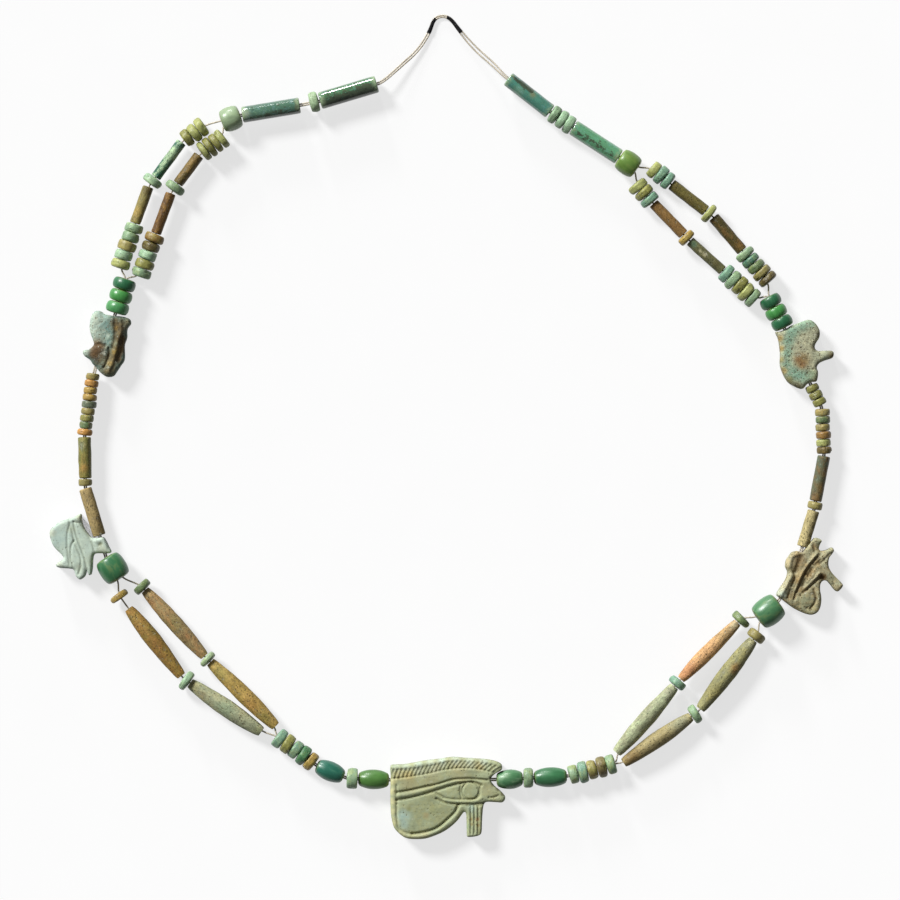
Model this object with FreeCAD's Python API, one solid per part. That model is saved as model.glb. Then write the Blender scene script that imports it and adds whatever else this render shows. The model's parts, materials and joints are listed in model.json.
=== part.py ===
import FreeCAD
import Part
import math
import os
from collections import namedtuple

# An ancient faience necklace: five wedjat eye amulets and disc, tube, spindle and barrel beads on two threads.
# It lies flat, seen from above, with the large amulet at the front (-Y) and the free thread at the back.
# All sizes are in millimetres. A share is a part of the size that it stands beside.

# Threads
thread_d = 0.36
thread_spacing = 0.42
thread_height = 2.6
thread_sides = 6

# Gaps along the threads
seat_gap = 0.1
amulet_gap = 0.3
spur_gap = 0.7
bare_thread = 2.0
long_bare_thread = 2.5
notch_gap = 1.5
strand_gap = 0.35
fork_length = 0.85
junction_gap = 0.75
exit_length = 0.3

# Disc beads
ring_d = 4.8
ring_l = 1.85
ring_bore = 1.5
small_d = 3.45
small_l = 1.62
small_bore = 1.4

# Flat sides round a bead, a bore, and the groove round an iris
bead_sides = 12
bore_sides = 6
iris_sides = 14

# Tube beads
slim_tube_d = 2.55
slim_tube_l = 9.5
wide_tube_d = 3.7
wide_tube_l = 12.2
side_tube_d = 2.95
side_tube_l = 10.0
tube_bore = 1.3

# Spindle and barrel beads
spindle_d = 3.8
spindle_end_d = 2.3
spindle_l = 19.15
barrel_d = 4.4
barrel_end_d = 2.5
barrel_l = 6.9
barrel_bore = 1.4

# Glossy green beads
glossy_d = 5.2
glossy_end_d = 3.9
glossy_l = 2.72
glossy_bore = 1.5
upper_junction_d = 5.7
upper_junction_l = 4.4
lower_junction_d = 6.6
lower_junction_l = 6.0
junction_end_share = 0.68
junction_bore = 2.4

# Amulets
amulet_thickness = 4.6
amulet_bore_d = 1.5
main_width = 25.2
main_height = 17.9
lower_left_width = 13.4
lower_left_height = 14.4
upper_left_width = 10.8
upper_left_height = 14.5
lower_right_width = 14.6
lower_right_height = 16.9
upper_right_width = 12.7
upper_right_height = 15.2

# Carving on the amulets' fronts
line_width = 0.42
line_depth = 0.4
hatch_count = 22
hatch_width = 0.4
hatch_lean_share = 0.062
iris_d = 3.8

# Bindings of the free thread
binding_foot_d = 1.0
binding_top_d = 0.84

Kind = namedtuple("Kind", "diameter end_diameter length bore form")
Group = namedtuple("Group", "node kind count width_share length_share")
Amulet = namedtuple("Amulet", "node width height bore_start_share bore_end_share outline_shares line_shares")
Run = namedtuple("Run", "heading gap_before groups")
Fork = namedtuple("Fork", "heading outer inner")
Strand = namedtuple("Strand", "side lead_share runs")
Stretch = namedtuple("Stretch", "begin end heading side")

KINDS = {
    "ring": Kind(ring_d, ring_d, ring_l, ring_bore, "disc"),
    "small": Kind(small_d, small_d, small_l, small_bore, "disc"),
    "slim tube": Kind(slim_tube_d, slim_tube_d, slim_tube_l, tube_bore, "tube"),
    "wide tube": Kind(wide_tube_d, wide_tube_d, wide_tube_l, tube_bore, "tube"),
    "side tube": Kind(side_tube_d, side_tube_d, side_tube_l, tube_bore, "tube"),
    "spindle": Kind(spindle_d, spindle_end_d, spindle_l, tube_bore, "spindle"),
    "barrel": Kind(barrel_d, barrel_end_d, barrel_l, barrel_bore, "barrel"),
    "glossy": Kind(glossy_d, glossy_end_d, glossy_l, glossy_bore, "glossy"),
    "upper junction": Kind(
        upper_junction_d, upper_junction_d * junction_end_share, upper_junction_l, junction_bore, "barrel"
    ),
    "lower junction": Kind(
        lower_junction_d, lower_junction_d * junction_end_share, lower_junction_l, junction_bore, "barrel"
    ),
}

# Each profile gives shares of the length, and how far the radius has grown there from the end to the middle
PROFILE_SHARES = {
    "disc": [(0, 1), (1, 1)],
    "tube": [(0, 1), (1, 1)],
    "spindle": [(0, 0), (0.18, 0.55), (0.38, 1), (0.62, 1), (0.82, 0.55), (1, 0)],
    "barrel": [(0, 0), (0.2, 0.72), (0.4, 1), (0.6, 1), (0.8, 0.72), (1, 0)],
    "glossy": [(0, 0), (0.3, 1), (0.7, 1), (1, 0)],
}

# An outline's item with one point is a straight side to it, and one with two points is an arc through the first
main_outline_shares = [
    (0, 0.86), ((0.02, 0.9), (0.08, 0.908)), ((0.31, 0.965), (0.56, 1.0)), ((0.79, 0.98), (0.96, 0.92)),
    ((0.98, 0.86),), ((0.91, 0.8), (0.865, 0.725)), ((0.92, 0.64), (0.978, 0.56)), ((1.0, 0.515),),
    ((0.965, 0.45),), ((0.815, 0.43),), ((0.795, 0.07),), ((0.78, 0.035), (0.74, 0.03)), ((0.665, 0.03),),
    ((0.66, 0.31),), ((0.638, 0.325),), ((0.5, 0.11), (0.3, 0.005)), ((0.165, 0),), ((0.05, 0.08), (0, 0.3)),
    ((0, 0.86),),
]
lower_left_outline_shares = [
    (0.51, 1.0), ((0.53, 0.87), (0.6, 0.74)), ((0.67, 0.64),), ((0.87, 0.65),), ((1.0, 0.43),), ((0.96, 0.4),),
    ((0.75, 0.4),), ((0.7, 0.27), (0.7, 0.14)), ((0.68, 0.05),), ((0.615, 0.115),), ((0.5, 0),),
    ((0.455, 0.01),), ((0.41, 0.145),), ((0.25, 0.18), (0.11, 0.19)), ((0.1, 0.235),), ((0.27, 0.335),),
    ((0.11, 0.48), (0, 0.69)), ((0.01, 0.78), (0.07, 0.82)), ((0.26, 0.93), (0.51, 1.0)),
]
upper_left_outline_shares = [
    (0.15, 0.83), ((0.18, 0.95), (0.29, 1.0)), ((0.37, 0.99),), ((0.42, 0.93),), ((0.78, 0.91),),
    ((0.96, 0.86), (0.98, 0.78)), ((0.91, 0.7),), ((0.9, 0.52),), ((0.855, 0.43),), ((0.85, 0.25),),
    ((0.77, 0.13), (0.67, 0.07)), ((0.51, 0),), ((0.39, 0.04),), ((0.2, 0.22),), ((0.03, 0.3), (0.01, 0.4)),
    ((0.23, 0.43),), ((0.25, 0.52),), ((0.14, 0.66), (0.15, 0.83)),
]
lower_right_outline_shares = [
    (0, 0.26), ((0.09, 0.43),), ((0.12, 0.54), (0.12, 0.66)), ((0.24, 0.82),), ((0.5, 0.83),), ((0.54, 0.91),),
    ((0.58, 1.0),), ((0.67, 0.96),), ((0.63, 0.87),), ((0.68, 0.82),), ((0.83, 0.875),), ((0.865, 0.85),),
    ((0.77, 0.7),), ((0.8, 0.59),), ((1.0, 0.385),), ((0.91, 0.3),), ((0.74, 0.415),), ((0.68, 0.44),),
    ((0.65, 0.35),), ((0.675, 0.18),), ((0.64, 0.05), (0.54, 0)), ((0.3, 0.04), (0.12, 0.17)), ((0, 0.26),),
]
upper_right_outline_shares = [
    (0, 0.81), ((0.06, 0.7), (0.08, 0.58)), ((0.08, 0.36),), ((0.15, 0.17), (0.31, 0.04)), ((0.47, 0),),
    ((0.55, 0.07),), ((0.7, 0.1),), ((0.73, 0.22),), ((0.7, 0.33),), ((0.83, 0.41),), ((0.97, 0.45),),
    ((0.99, 0.54), (0.9, 0.55)), ((0.71, 0.545),), ((0.67, 0.62),), ((0.75, 0.74),), ((0.74, 0.94), (0.58, 1.0)),
    ((0.35, 0.93), (0.17, 0.855)), ((0, 0.81),),
]

# The carved lines: on the main amulet two brow lines, the eye, its lower lid, the cheek's rim and the spur, and
# the flutes of the leg below the eye. The strokes on the brow stand between its foot and its top.
main_line_shares = [
    [(-0.02, 0.568), (0.21, 0.595), (0.384, 0.667), (0.533, 0.723), (0.69, 0.745), (0.847, 0.724)],
    [(-0.02, 0.475), (0.166, 0.503), (0.341, 0.583), (0.515, 0.665), (0.638, 0.701), (0.742, 0.692), (0.812, 0.644)],
    [(0.402, 0.589), (0.463, 0.528), (0.576, 0.482), (0.725, 0.488), (0.786, 0.583), (0.782, 0.65)],
    [(0.397, 0.54), (0.472, 0.466), (0.603, 0.422), (0.795, 0.444)],
    [(0.59, 0.411), (0.555, 0.307), (0.48, 0.184), (0.358, 0.096), (0.192, 0.064), (0.087, 0.11)],
    [(0.847, 0.496), (0.961, 0.501)],
    [(0.695, 0.405), (0.695, -0.02)], [(0.73, 0.405), (0.73, -0.02)], [(0.765, 0.405), (0.765, -0.02)],
]
brow_foot_shares = [(0, 0.741), (0.166, 0.763), (0.341, 0.812), (0.515, 0.856), (0.69, 0.869), (1, 0.8)]
brow_top_shares = [(0, 0.828), (0.175, 0.874), (0.341, 0.92), (0.559, 0.957), (0.777, 0.933), (1, 0.865)]
brow_start_share = 0.012
brow_end_share = 0.895
iris_share = (0.695, 0.589)
lower_left_line_shares = [
    [(0.311, 0.893), (0.377, 0.695), (0.402, 0.573)],
    [(0.41, 0.847), (0.525, 0.573), (0.59, 0.328), (0.6, 0.145)],
    [(0.41, 0.573), (0.344, 0.389), (0.367, 0.191)],
    [(0.42, 0.557), (0.508, 0.328), (0.5, 0.084)],
    [(0.292, 0.786), (0.295, 0.481), (0.328, 0.267)],
    [(0.672, 0.618), (0.728, 0.45)],
]
upper_left_line_shares = [
    [(0.694, 0.447), (0.602, 0.22), (0.543, 0.053)],
    [(0.837, 0.856), (0.796, 0.568), (0.714, 0.417)],
    [(0.255, 0.477), (0.469, 0.47), (0.551, 0.386)],
]
lower_right_line_shares = [
    [(0.121, 0.247), (0.273, 0.468), (0.439, 0.74)],
    [(0.212, 0.195), (0.394, 0.494), (0.576, 0.714), (0.697, 0.779)],
    [(0.333, 0.104), (0.485, 0.351), (0.727, 0.675)],
    [(0.424, 0.325), (0.53, 0.156), (0.621, 0.13)],
]

main_amulet = Amulet(
    "main_wedjat_amulet", main_width, main_height,
    (0, 0.72), (0.865, 0.72), main_outline_shares, main_line_shares,
)
lower_left_amulet = Amulet(
    "lower_left_wedjat_amulet", lower_left_width, lower_left_height,
    (0.9, 0.385), (0.82, 0.645), lower_left_outline_shares, lower_left_line_shares,
)
upper_left_amulet = Amulet(
    "upper_left_wedjat_amulet", upper_left_width, upper_left_height,
    (0.26, 0.14), (0.66, 0.925), upper_left_outline_shares, upper_left_line_shares,
)
lower_right_amulet = Amulet(
    "lower_right_wedjat_amulet", lower_right_width, lower_right_height,
    (0.06, 0.215), (0.37, 0.82), lower_right_outline_shares, lower_right_line_shares,
)
upper_right_amulet = Amulet(
    "upper_right_wedjat_amulet", upper_right_width, upper_right_height,
    (0.6, 0.08), (0.17, 0.855), upper_right_outline_shares, [],
)

# Each side of the necklace in order, from the main amulet round to the free thread. Headings are in degrees.
# In a fork the thread parts into two strands, and their runs' headings are counted from the fork's own. A strand's
# share says how much of its bare thread lies before its first bead.
left_side = [
    Run(177.8, amulet_gap, [
        Group("left_inner_barrel_bead", "barrel", 1, 1, 0.98),
        Group("left_barrel_spacer_ring", "ring", 1, 1.03, 1.3),
    ]),
    Run(156.9, 0, [Group("left_outer_barrel_bead", "barrel", 1, 1, 0.93)]),
    Run(143.3, 0, [Group("lower_left_disc_beads", "ring", 5, 0.97, 1.09)]),
    Fork(
        135.2,
        Strand(1, 1, [
            Run(6, bare_thread, [
                Group("lower_left_outer_front_spindle", "spindle", 1, 1.04, 0.99),
                Group("wedged_rings", "ring", 1, 1.05, 0.93),
            ]),
            Run(-11.5, 0, [Group("lower_left_outer_back_spindle", "spindle", 1, 0.98, 0.98)]),
            Run(-14.5, long_bare_thread, [Group("wedged_rings", "ring", 1, 0.92, 0.79)]),
        ]),
        Strand(-1, 0.24, [
            Run(1.8, 0, [
                Group("lower_left_inner_front_spindle", "spindle", 1, 1.01, 1.05),
                Group("wedged_rings", "ring", 1, 0.9, 0.81),
            ]),
            Run(-1.8, 0, [
                Group("lower_left_inner_back_spindle", "spindle", 1, 0.95, 1.02),
                Group("wedged_rings", "ring", 1, 0.96, 0.93),
            ]),
        ]),
    ),
    Run(122.6, junction_gap, [Group("junction_beads", "lower junction", 1, 1, 0.94)]),
    Run(107, amulet_gap, [lower_left_amulet]),
    Run(107, amulet_gap, [Group("left_lower_side_tube", "side tube", 1, 1, 1.08)]),
    Run(90.8, 0, [
        Group("left_side_spacer_bead", "small", 1, 0.93, 0.96),
        Group("left_upper_side_tube", "side tube", 1, 1.03, 0.91),
    ]),
    Run(82.4, 0, [Group("left_small_beads", "small", 9, 0.97, 0.89)]),
    Run(68.4, amulet_gap + spur_gap, [upper_left_amulet]),
    Run(73.5, amulet_gap + seat_gap, [Group("left_glossy_beads", "glossy", 3, 1.02, 0.95)]),
    Fork(
        59.3,
        Strand(1, 0.5, [
            Run(17.8, 0, [
                Group("upper_left_outer_side_rings", "ring", 5, 0.94, 1.08),
                Group("upper_left_outer_side_tube", "slim tube", 1, 1, 0.9),
            ]),
            Run(1, 0, [
                Group("wedged_rings", "ring", 1, 1, 1.01),
                Group("upper_left_outer_back_tube", "slim tube", 1, 0.95, 1.01),
            ]),
            Run(-15, 0, [Group("upper_left_outer_back_rings", "ring", 3, 0.94, 1)]),
        ]),
        Strand(-1, 1, [
            Run(13.1, 0, [
                Group("upper_left_inner_side_rings", "ring", 5, 0.95, 1.05),
                Group("upper_left_inner_side_tube", "slim tube", 1, 0.93, 0.99),
            ]),
            Run(-3.3, 0, [
                Group("wedged_rings", "ring", 1, 1.04, 1.02),
                Group("upper_left_inner_back_tube", "slim tube", 1, 1, 0.82),
            ]),
            Run(-20, 0, [Group("upper_left_inner_back_rings", "ring", 4, 1.02, 0.81)]),
        ]),
    ),
    Run(19.9, junction_gap, [Group("junction_beads", "upper junction", 1, 1, 1)]),
    Run(9.4, 0, [Group("upper_left_front_wide_tube", "wide tube", 1, 0.98, 1.05)]),
    Run(11.6, bare_thread, [Group("upper_left_spacer_ring", "ring", 1, 1.03, 1.1)]),
    Run(16.7, 0, [Group("upper_left_back_wide_tube", "wide tube", 1, 1.05, 1.07)]),
]
right_side = [
    Run(2.8, notch_gap, [
        Group("right_inner_barrel_bead", "barrel", 1, 1, 0.84),
        Group("right_barrel_spacer_ring", "ring", 1, 1, 1.19),
        Group("right_outer_barrel_bead", "barrel", 1, 1, 1.05),
    ]),
    Run(15.5, 0, [Group("lower_right_disc_beads", "ring", 5, 0.99, 1.1)]),
    Fork(
        45.5,
        Strand(-1, 0.38, [
            Run(-10.6, 0, [
                Group("lower_right_outer_front_spindle", "spindle", 1, 0.96, 0.94),
                Group("wedged_rings", "ring", 1, 1, 0.99),
            ]),
            Run(7.6, 0, [
                Group("lower_right_outer_back_spindle", "spindle", 1, 1, 1),
                Group("wedged_rings", "ring", 1, 0.93, 1.11),
            ]),
        ]),
        Strand(1, 1, [
            Run(1.9, seat_gap, [
                Group("lower_right_inner_front_spindle", "spindle", 1, 1.02, 1.01),
                Group("wedged_rings", "ring", 1, 0.92, 0.97),
            ]),
            Run(-1.9, 0, [
                Group("lower_right_inner_back_spindle", "spindle", 1, 0.9, 0.92),
                Group("wedged_rings", "ring", 1, 0.95, 0.93),
            ]),
        ]),
    ),
    Run(36.8, junction_gap, [Group("junction_beads", "lower junction", 1, 1.01, 0.98)]),
    Run(70.8, amulet_gap, [lower_right_amulet]),
    Run(72.9, amulet_gap + spur_gap, [Group("right_lower_side_tube", "side tube", 1, 0.93, 0.83)]),
    Run(79.3, 0, [
        Group("right_side_spacer_bead", "small", 1, 1.01, 1.07),
        Group("right_upper_side_tube", "side tube", 1, 1, 1.01),
    ]),
    Run(92.1, 0, [Group("right_lower_small_beads", "small", 6, 1, 0.97)]),
    Run(115.9, 0, [Group("right_upper_small_beads", "small", 3, 0.95, 0.98)]),
    Run(116, amulet_gap, [upper_right_amulet]),
    Run(117.3, amulet_gap, [Group("right_glossy_beads", "glossy", 3, 0.97, 0.93)]),
    Fork(
        135.7,
        Strand(-1, 1, [
            Run(-3, 0, [
                Group("upper_right_outer_side_rings", "ring", 5, 0.95, 0.94),
                Group("upper_right_outer_side_tube", "slim tube", 1, 1.05, 1.02),
            ]),
            Run(8.5, 0, [
                Group("wedged_rings", "ring", 1, 1, 0.85),
                Group("upper_right_outer_back_tube", "slim tube", 1, 1.05, 1.01),
            ]),
            Run(5.5, 0, [Group("upper_right_outer_back_rings", "ring", 3, 0.94, 0.99)]),
        ]),
        Strand(1, 0.5, [
            Run(0.3, 0, [
                Group("upper_right_inner_side_rings", "ring", 5, 0.96, 1.01),
                Group("upper_right_inner_side_tube", "slim tube", 1, 0.94, 1.02),
            ]),
            Run(-3.5, 0, [
                Group("wedged_rings", "ring", 1, 0.92, 0.92),
                Group("upper_right_inner_back_tube", "slim tube", 1, 1, 1),
            ]),
            Run(-6.8, 0, [Group("upper_right_inner_back_rings", "ring", 3, 0.96, 1.01)]),
        ]),
    ),
    Run(145.4, junction_gap, [Group("junction_beads", "upper junction", 1, 1, 1.06)]),
    Run(147, 0, [Group("upper_right_front_wide_tube", "wide tube", 1, 0.98, 0.98)]),
    Run(146.2, 0, [Group("upper_right_disc_beads", "ring", 3, 0.9, 1)]),
    Run(142, 0, [Group("upper_right_back_wide_tube", "wide tube", 1, 0.93, 0.96)]),
]

# The free thread's route between the ends of the two back tubes, with its height and its two strands' spacing
free_route = [
    (-10.4, 85.3), (-6.1, 89.2), (-3.7, 93.1), (-2.6, 96.5),
    (0.5, 96.8), (3.1, 93.2), (6.4, 89.4), (10.2, 86.1),
]
free_heights = [1.7, 0.8, 0.55, 0.52, 0.52, 0.55, 0.7, 1.6]
free_spacings = [0.46, 0.46, 0.46, 0.46, 0.46, 0.55, 0.8, 0.75]
free_lead = 1.2
arc_share = 0.45
arc_steps = 2


def ahead(heading, length):
    """The step of a length along a heading in the plane of the necklace."""
    angle = math.radians(heading)
    return FreeCAD.Vector(math.cos(angle), math.sin(angle), 0) * length


def across(heading, length):
    """The step of a length to the left of a heading."""
    return ahead(heading + 90, length)


def bead_length(group):
    return KINDS[group.kind].length * group.length_share


def run_length(run):
    """How far a run's beads reach along the thread, with the small gaps between them."""
    beads = [bead_length(g) for g in run.groups for _ in range(g.count)]
    return sum(beads) + (len(beads) - 1) * seat_gap


def end_diameter(group):
    """The width of a run's end there, or zero at an amulet's bore, whose gaps are given beside its runs."""
    return 0 if isinstance(group, Amulet) else KINDS[group.kind].end_diameter * group.width_share


def gap_between(before, after, turn):
    """The gap between two runs' end beads, wide enough that their rims clear each other at the turn's inside."""
    wedge = math.tan(math.radians(abs(turn)) / 2)
    return seat_gap + (end_diameter(before) + end_diameter(after)) / 2 * wedge


def strand_gaps(strand):
    """The gap before each run of a strand."""
    gaps = [strand.runs[0].gap_before]
    for before, after in zip(strand.runs, strand.runs[1:]):
        turn = after.heading - before.heading
        gaps.append(after.gap_before + gap_between(before.groups[-1], after.groups[0], turn))
    return gaps


def half_spread(group):
    """How far a strand's end stands from the fork's middle line, so that its bead clears the other strand's."""
    return (end_diameter(group) + strand_gap) / 2


def fork_lead(fork, place, heading):
    """How far a fork's strands stand off its first or last point, beside a bead of that heading."""
    spread = max(half_spread(s.runs[place].groups[place]) for s in (fork.outer, fork.inner))
    return fork_length + spread * math.tan(math.radians(abs(fork.heading - heading)) / 2)


def strand_chord(strand):
    """The straight step from a strand's first bead to its last, counted from the fork's heading."""
    steps = [ahead(r.heading, run_length(r)) for r in strand.runs]
    steps += [ahead(r.heading, gap) for r, gap in zip(strand.runs, strand_gaps(strand))]
    return sum(steps, FreeCAD.Vector())


def flat_face(corners):
    return Part.Face(Part.makePolygon(corners + corners[:1]))


def skinned_solid(sections, flat):
    """The solid between polygons that have as many corners each. Where flat is false, a side is two triangles."""
    faces = [flat_face(sections[0]), flat_face(sections[-1])]
    for low, high in zip(sections, sections[1:]):
        for i in range(len(low)):
            j = (i + 1) % len(low)
            if flat:
                faces.append(flat_face([low[i], low[j], high[j], high[i]]))
            else:
                faces += [flat_face([low[i], low[j], high[j]]), flat_face([low[i], high[j], high[i]])]
    shell = Part.Shell(faces)
    shell.sewShape()
    solid = Part.Solid(shell)
    if solid.Volume < 0:
        solid.reverse()
    return solid


def regular_corners(sides, radius, along):
    """The corners of a regular polygon round the X axis, with a flat side below and above."""
    angles = [2 * math.pi * (i + 1 / 2) / sides for i in range(sides)]
    return [FreeCAD.Vector(along, math.sin(a) * radius, -math.cos(a) * radius) for a in angles]


def shaped_solid(sides, form, diameter, end_diameter, length):
    """A bead's outside along +X, through the sections that its form gives."""
    sections = []
    for along, grown in PROFILE_SHARES[form]:
        radius = (end_diameter + grown * (diameter - end_diameter)) / 2
        sections.append(regular_corners(sides, radius, along * length))
    return skinned_solid(sections, True)


def make_bead(group, start, heading):
    """A bored bead whose end face's centre is at start, with its bore along the heading."""
    kind = KINDS[group.kind]
    diameter, length = kind.diameter * group.width_share, bead_length(group)
    end_diameter = kind.end_diameter * group.width_share
    body = shaped_solid(bead_sides, kind.form, diameter, end_diameter, length)
    bead = body.cut(shaped_solid(bore_sides, "disc", kind.bore, kind.bore, length))
    height = max(thread_height, diameter / 2 * math.cos(math.pi / bead_sides))
    bead.Placement = FreeCAD.Placement(
        FreeCAD.Vector(start.x, start.y, height), FreeCAD.Rotation(FreeCAD.Vector(0, 0, 1), heading)
    )
    return bead


def amulet_point(amulet, shares):
    return FreeCAD.Vector(shares[0] * amulet.width, shares[1] * amulet.height, 0)


def outline_wire(amulet):
    """The closed outline, from lines and arcs through the amulet's points."""
    at = amulet_point(amulet, amulet.outline_shares[0])
    edges = []
    for item in amulet.outline_shares[1:]:
        points = [amulet_point(amulet, shares) for shares in item]
        if len(points) == 1:
            edges.append(Part.LineSegment(at, points[0]).toShape())
        else:
            edges.append(Part.Arc(at, *points).toShape())
        at = points[-1]
    return Part.Wire(edges)


def amulet_bore(amulet):
    """The bore's start and step in the plane of the amulet."""
    start = amulet_point(amulet, amulet.bore_start_share)
    return start, amulet_point(amulet, amulet.bore_end_share) - start


def mitres(points):
    """At each point of a line, its direction there, and how many times a mitre widens it."""
    steps = [(b - a).normalize() for a, b in zip(points, points[1:])]
    for before, after in zip(steps[:1] + steps, steps + steps[-1:]):
        yield (before + after).normalize(), 1 / math.cos(before.getAngle(after) / 2)


def carved_line(points, width):
    """The cut that a line of an even width through the points makes in an amulet's front."""
    left, right = [], []
    for point, (along, widened) in zip(points, mitres(points)):
        side = FreeCAD.Vector(-along.y, along.x, 0) * (width / 2 * widened)
        left.append(point + side)
        right.append(point - side)
    return carved_area(left + right[::-1])


def carved_area(corners):
    cut = flat_face(corners).extrude(FreeCAD.Vector(0, 0, line_depth))
    cut.translate(FreeCAD.Vector(0, 0, amulet_thickness - line_depth))
    return cut


def height_share(line, along_share):
    """How high a line of shares stands at a share of the width."""
    for (near, low), (far, high) in zip(line, line[1:]):
        if along_share <= far:
            return low + (high - low) * (along_share - near) / (far - near)
    return line[-1][1]


def brow_strokes(amulet):
    """The slanting strokes on the brow."""
    strokes = []
    for i in range(hatch_count):
        foot = brow_start_share + (brow_end_share - brow_start_share) * i / (hatch_count - 1)
        top = foot + hatch_lean_share
        ends = [(foot, height_share(brow_foot_shares, foot)), (top, height_share(brow_top_shares, top))]
        strokes.append(carved_line([amulet_point(amulet, shares) for shares in ends], hatch_width))
    return strokes


def iris_groove(amulet):
    """The groove round the iris."""
    centre = amulet_point(amulet, iris_share)
    rims = []
    for diameter in (iris_d + line_width, iris_d - line_width):
        turns = [ahead(360 * i / iris_sides, diameter / 2) for i in range(iris_sides)]
        rims.append(carved_area([centre + turn for turn in turns]))
    return rims[0].cut(rims[1])


def carving(amulet):
    """All that is cut into an amulet's front."""
    cuts = [carved_line([amulet_point(amulet, s) for s in line], line_width) for line in amulet.line_shares]
    if amulet is main_amulet:
        cuts += brow_strokes(amulet) + [iris_groove(amulet)]
    return cuts


def make_amulet(amulet, start):
    """An amulet whose bore starts at the thread's point start."""
    plate = Part.Face(outline_wire(amulet)).extrude(FreeCAD.Vector(0, 0, amulet_thickness))
    bore_start, step = amulet_bore(amulet)
    heading = math.degrees(math.atan2(step.y, step.x))
    bore = shaped_solid(bore_sides, "disc", amulet_bore_d, amulet_bore_d, amulet.width * 2 + step.Length)
    mouth = bore_start - ahead(heading, amulet.width) + FreeCAD.Vector(0, 0, thread_height)
    bore.Placement = FreeCAD.Placement(mouth, FreeCAD.Rotation(FreeCAD.Vector(0, 0, 1), heading))
    body = plate.cut([bore] + carving(amulet)).Solids[0]
    body.Placement = FreeCAD.Placement(start - bore_start, FreeCAD.Rotation())
    return body


class Necklace:
    """The solids of each node, and the points that each of the two threads passes through."""

    def __init__(self):
        self.solids = {}

    def add(self, node, solid):
        self.solids.setdefault(node, []).append(solid)

    def lay_run(self, run, start, heading):
        """Lays a run's beads from start along the heading, and returns the run's end."""
        at = start
        for group in run.groups:
            for _ in range(group.count):
                self.add(group.node, make_bead(group, at, heading))
                at = at + ahead(heading, bead_length(group) + seat_gap)
        return start + ahead(heading, run_length(run))

    def lay_strand(self, fork, strand, start, lead, chord_length):
        """Lays one strand of a fork that starts at start, and returns its stretches of thread."""
        first, last = strand.runs[0].groups[0], strand.runs[-1].groups[-1]
        own = strand_chord(strand)
        begin = ahead(fork.heading, lead) + across(fork.heading, strand.side * half_spread(first))
        finish = ahead(fork.heading, lead + chord_length)
        finish = finish + across(fork.heading, strand.side * half_spread(last))
        reach = finish - begin
        turn = math.degrees(math.atan2(reach.y, reach.x) - math.atan2(own.y, own.x))
        slack = reach.Length - own.Length
        at = start + begin + reach * (strand.lead_share * slack / reach.Length)
        stretches = []
        for run, gap in zip(strand.runs, strand_gaps(strand)):
            heading = turn + run.heading
            at = at + ahead(heading, gap)
            end = self.lay_run(run, at, heading)
            stretches.append(Stretch(at, end, heading, 0))
            at = end
        return stretches

    def lay_fork(self, fork, start, lead, tail):
        """Lays both strands of a fork. Returns its end, and each strand's stretches of thread."""
        chord_length = max(strand_chord(s).Length for s in (fork.outer, fork.inner))
        outer = self.lay_strand(fork, fork.outer, start, lead, chord_length)
        inner = self.lay_strand(fork, fork.inner, start, lead, chord_length)
        return start + ahead(fork.heading, lead + chord_length + tail), outer, inner

    def lay_side(self, side, start, heading, outward):
        """Lays one side of the necklace, from the main amulet's bore. Returns both threads' stretches.

        outward is 1 where the outside of the loop is to the left of the way along this side, or else -1.
        """
        at, before = start, None
        outer, inner = [Stretch(start, start, heading, outward)], [Stretch(start, start, heading, -outward)]
        for run, after in zip(side, side[1:] + side[-1:]):
            if isinstance(run, Fork):
                lead, tail = fork_lead(run, 0, before.heading), fork_lead(run, -1, after.heading)
                at, outer_stretches, inner_stretches = self.lay_fork(run, at, lead, tail)
                outer += outer_stretches
                inner += inner_stretches
                before = None
                continue
            gap = run.gap_before
            if before:
                gap += gap_between(before.groups[-1], run.groups[0], run.heading - before.heading)
            begin = at + ahead(run.heading, gap)
            if isinstance(run.groups[0], Amulet):
                amulet = run.groups[0]
                self.add(amulet.node, make_amulet(amulet, begin))
                at = begin + amulet_bore(amulet)[1]
            else:
                at = self.lay_run(run, begin, run.heading)
            outer.append(Stretch(begin, at, run.heading, outward))
            inner.append(Stretch(begin, at, run.heading, -outward))
            before = run
        return outer, inner


def beside(stretch, point):
    """A point of a stretch, moved to its thread's own place beside the other thread."""
    return point + across(stretch.heading, stretch.side * thread_spacing / 2)


def thread_points(start, stretches):
    """The points that a thread turns at, from start through its stretches to the last one's end."""
    points = [start]
    for before, after in zip(stretches, stretches[1:]):
        leaves, enters = beside(before, before.end), beside(after, after.begin)
        if before.side and after.side:
            points.append((leaves + enters) * (1 / 2))
        elif before.side or after.side:
            points.append(leaves + ahead(before.heading, exit_length))
            points.append(enters - ahead(after.heading, exit_length))
        else:
            points.append((leaves + enters) * (1 / 2))
    return points + [beside(stretches[-1], stretches[-1].end)]


def thread_solid(points, diameters, sides, flat):
    """A thread of flat sides through the points, with a mitred section at each."""
    sections = []
    for point, diameter, (along, widened) in zip(points, diameters, mitres(points)):
        level = FreeCAD.Vector(-along.y, along.x, 0).normalize()
        rise = along.cross(level)
        angles = [2 * math.pi * (i + 1 / 2) / sides for i in range(sides)]
        sections.append([
            point + (level * (math.sin(a) * widened) - rise * math.cos(a)) * (diameter / 2) for a in angles
        ])
    return skinned_solid(sections, flat)


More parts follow.
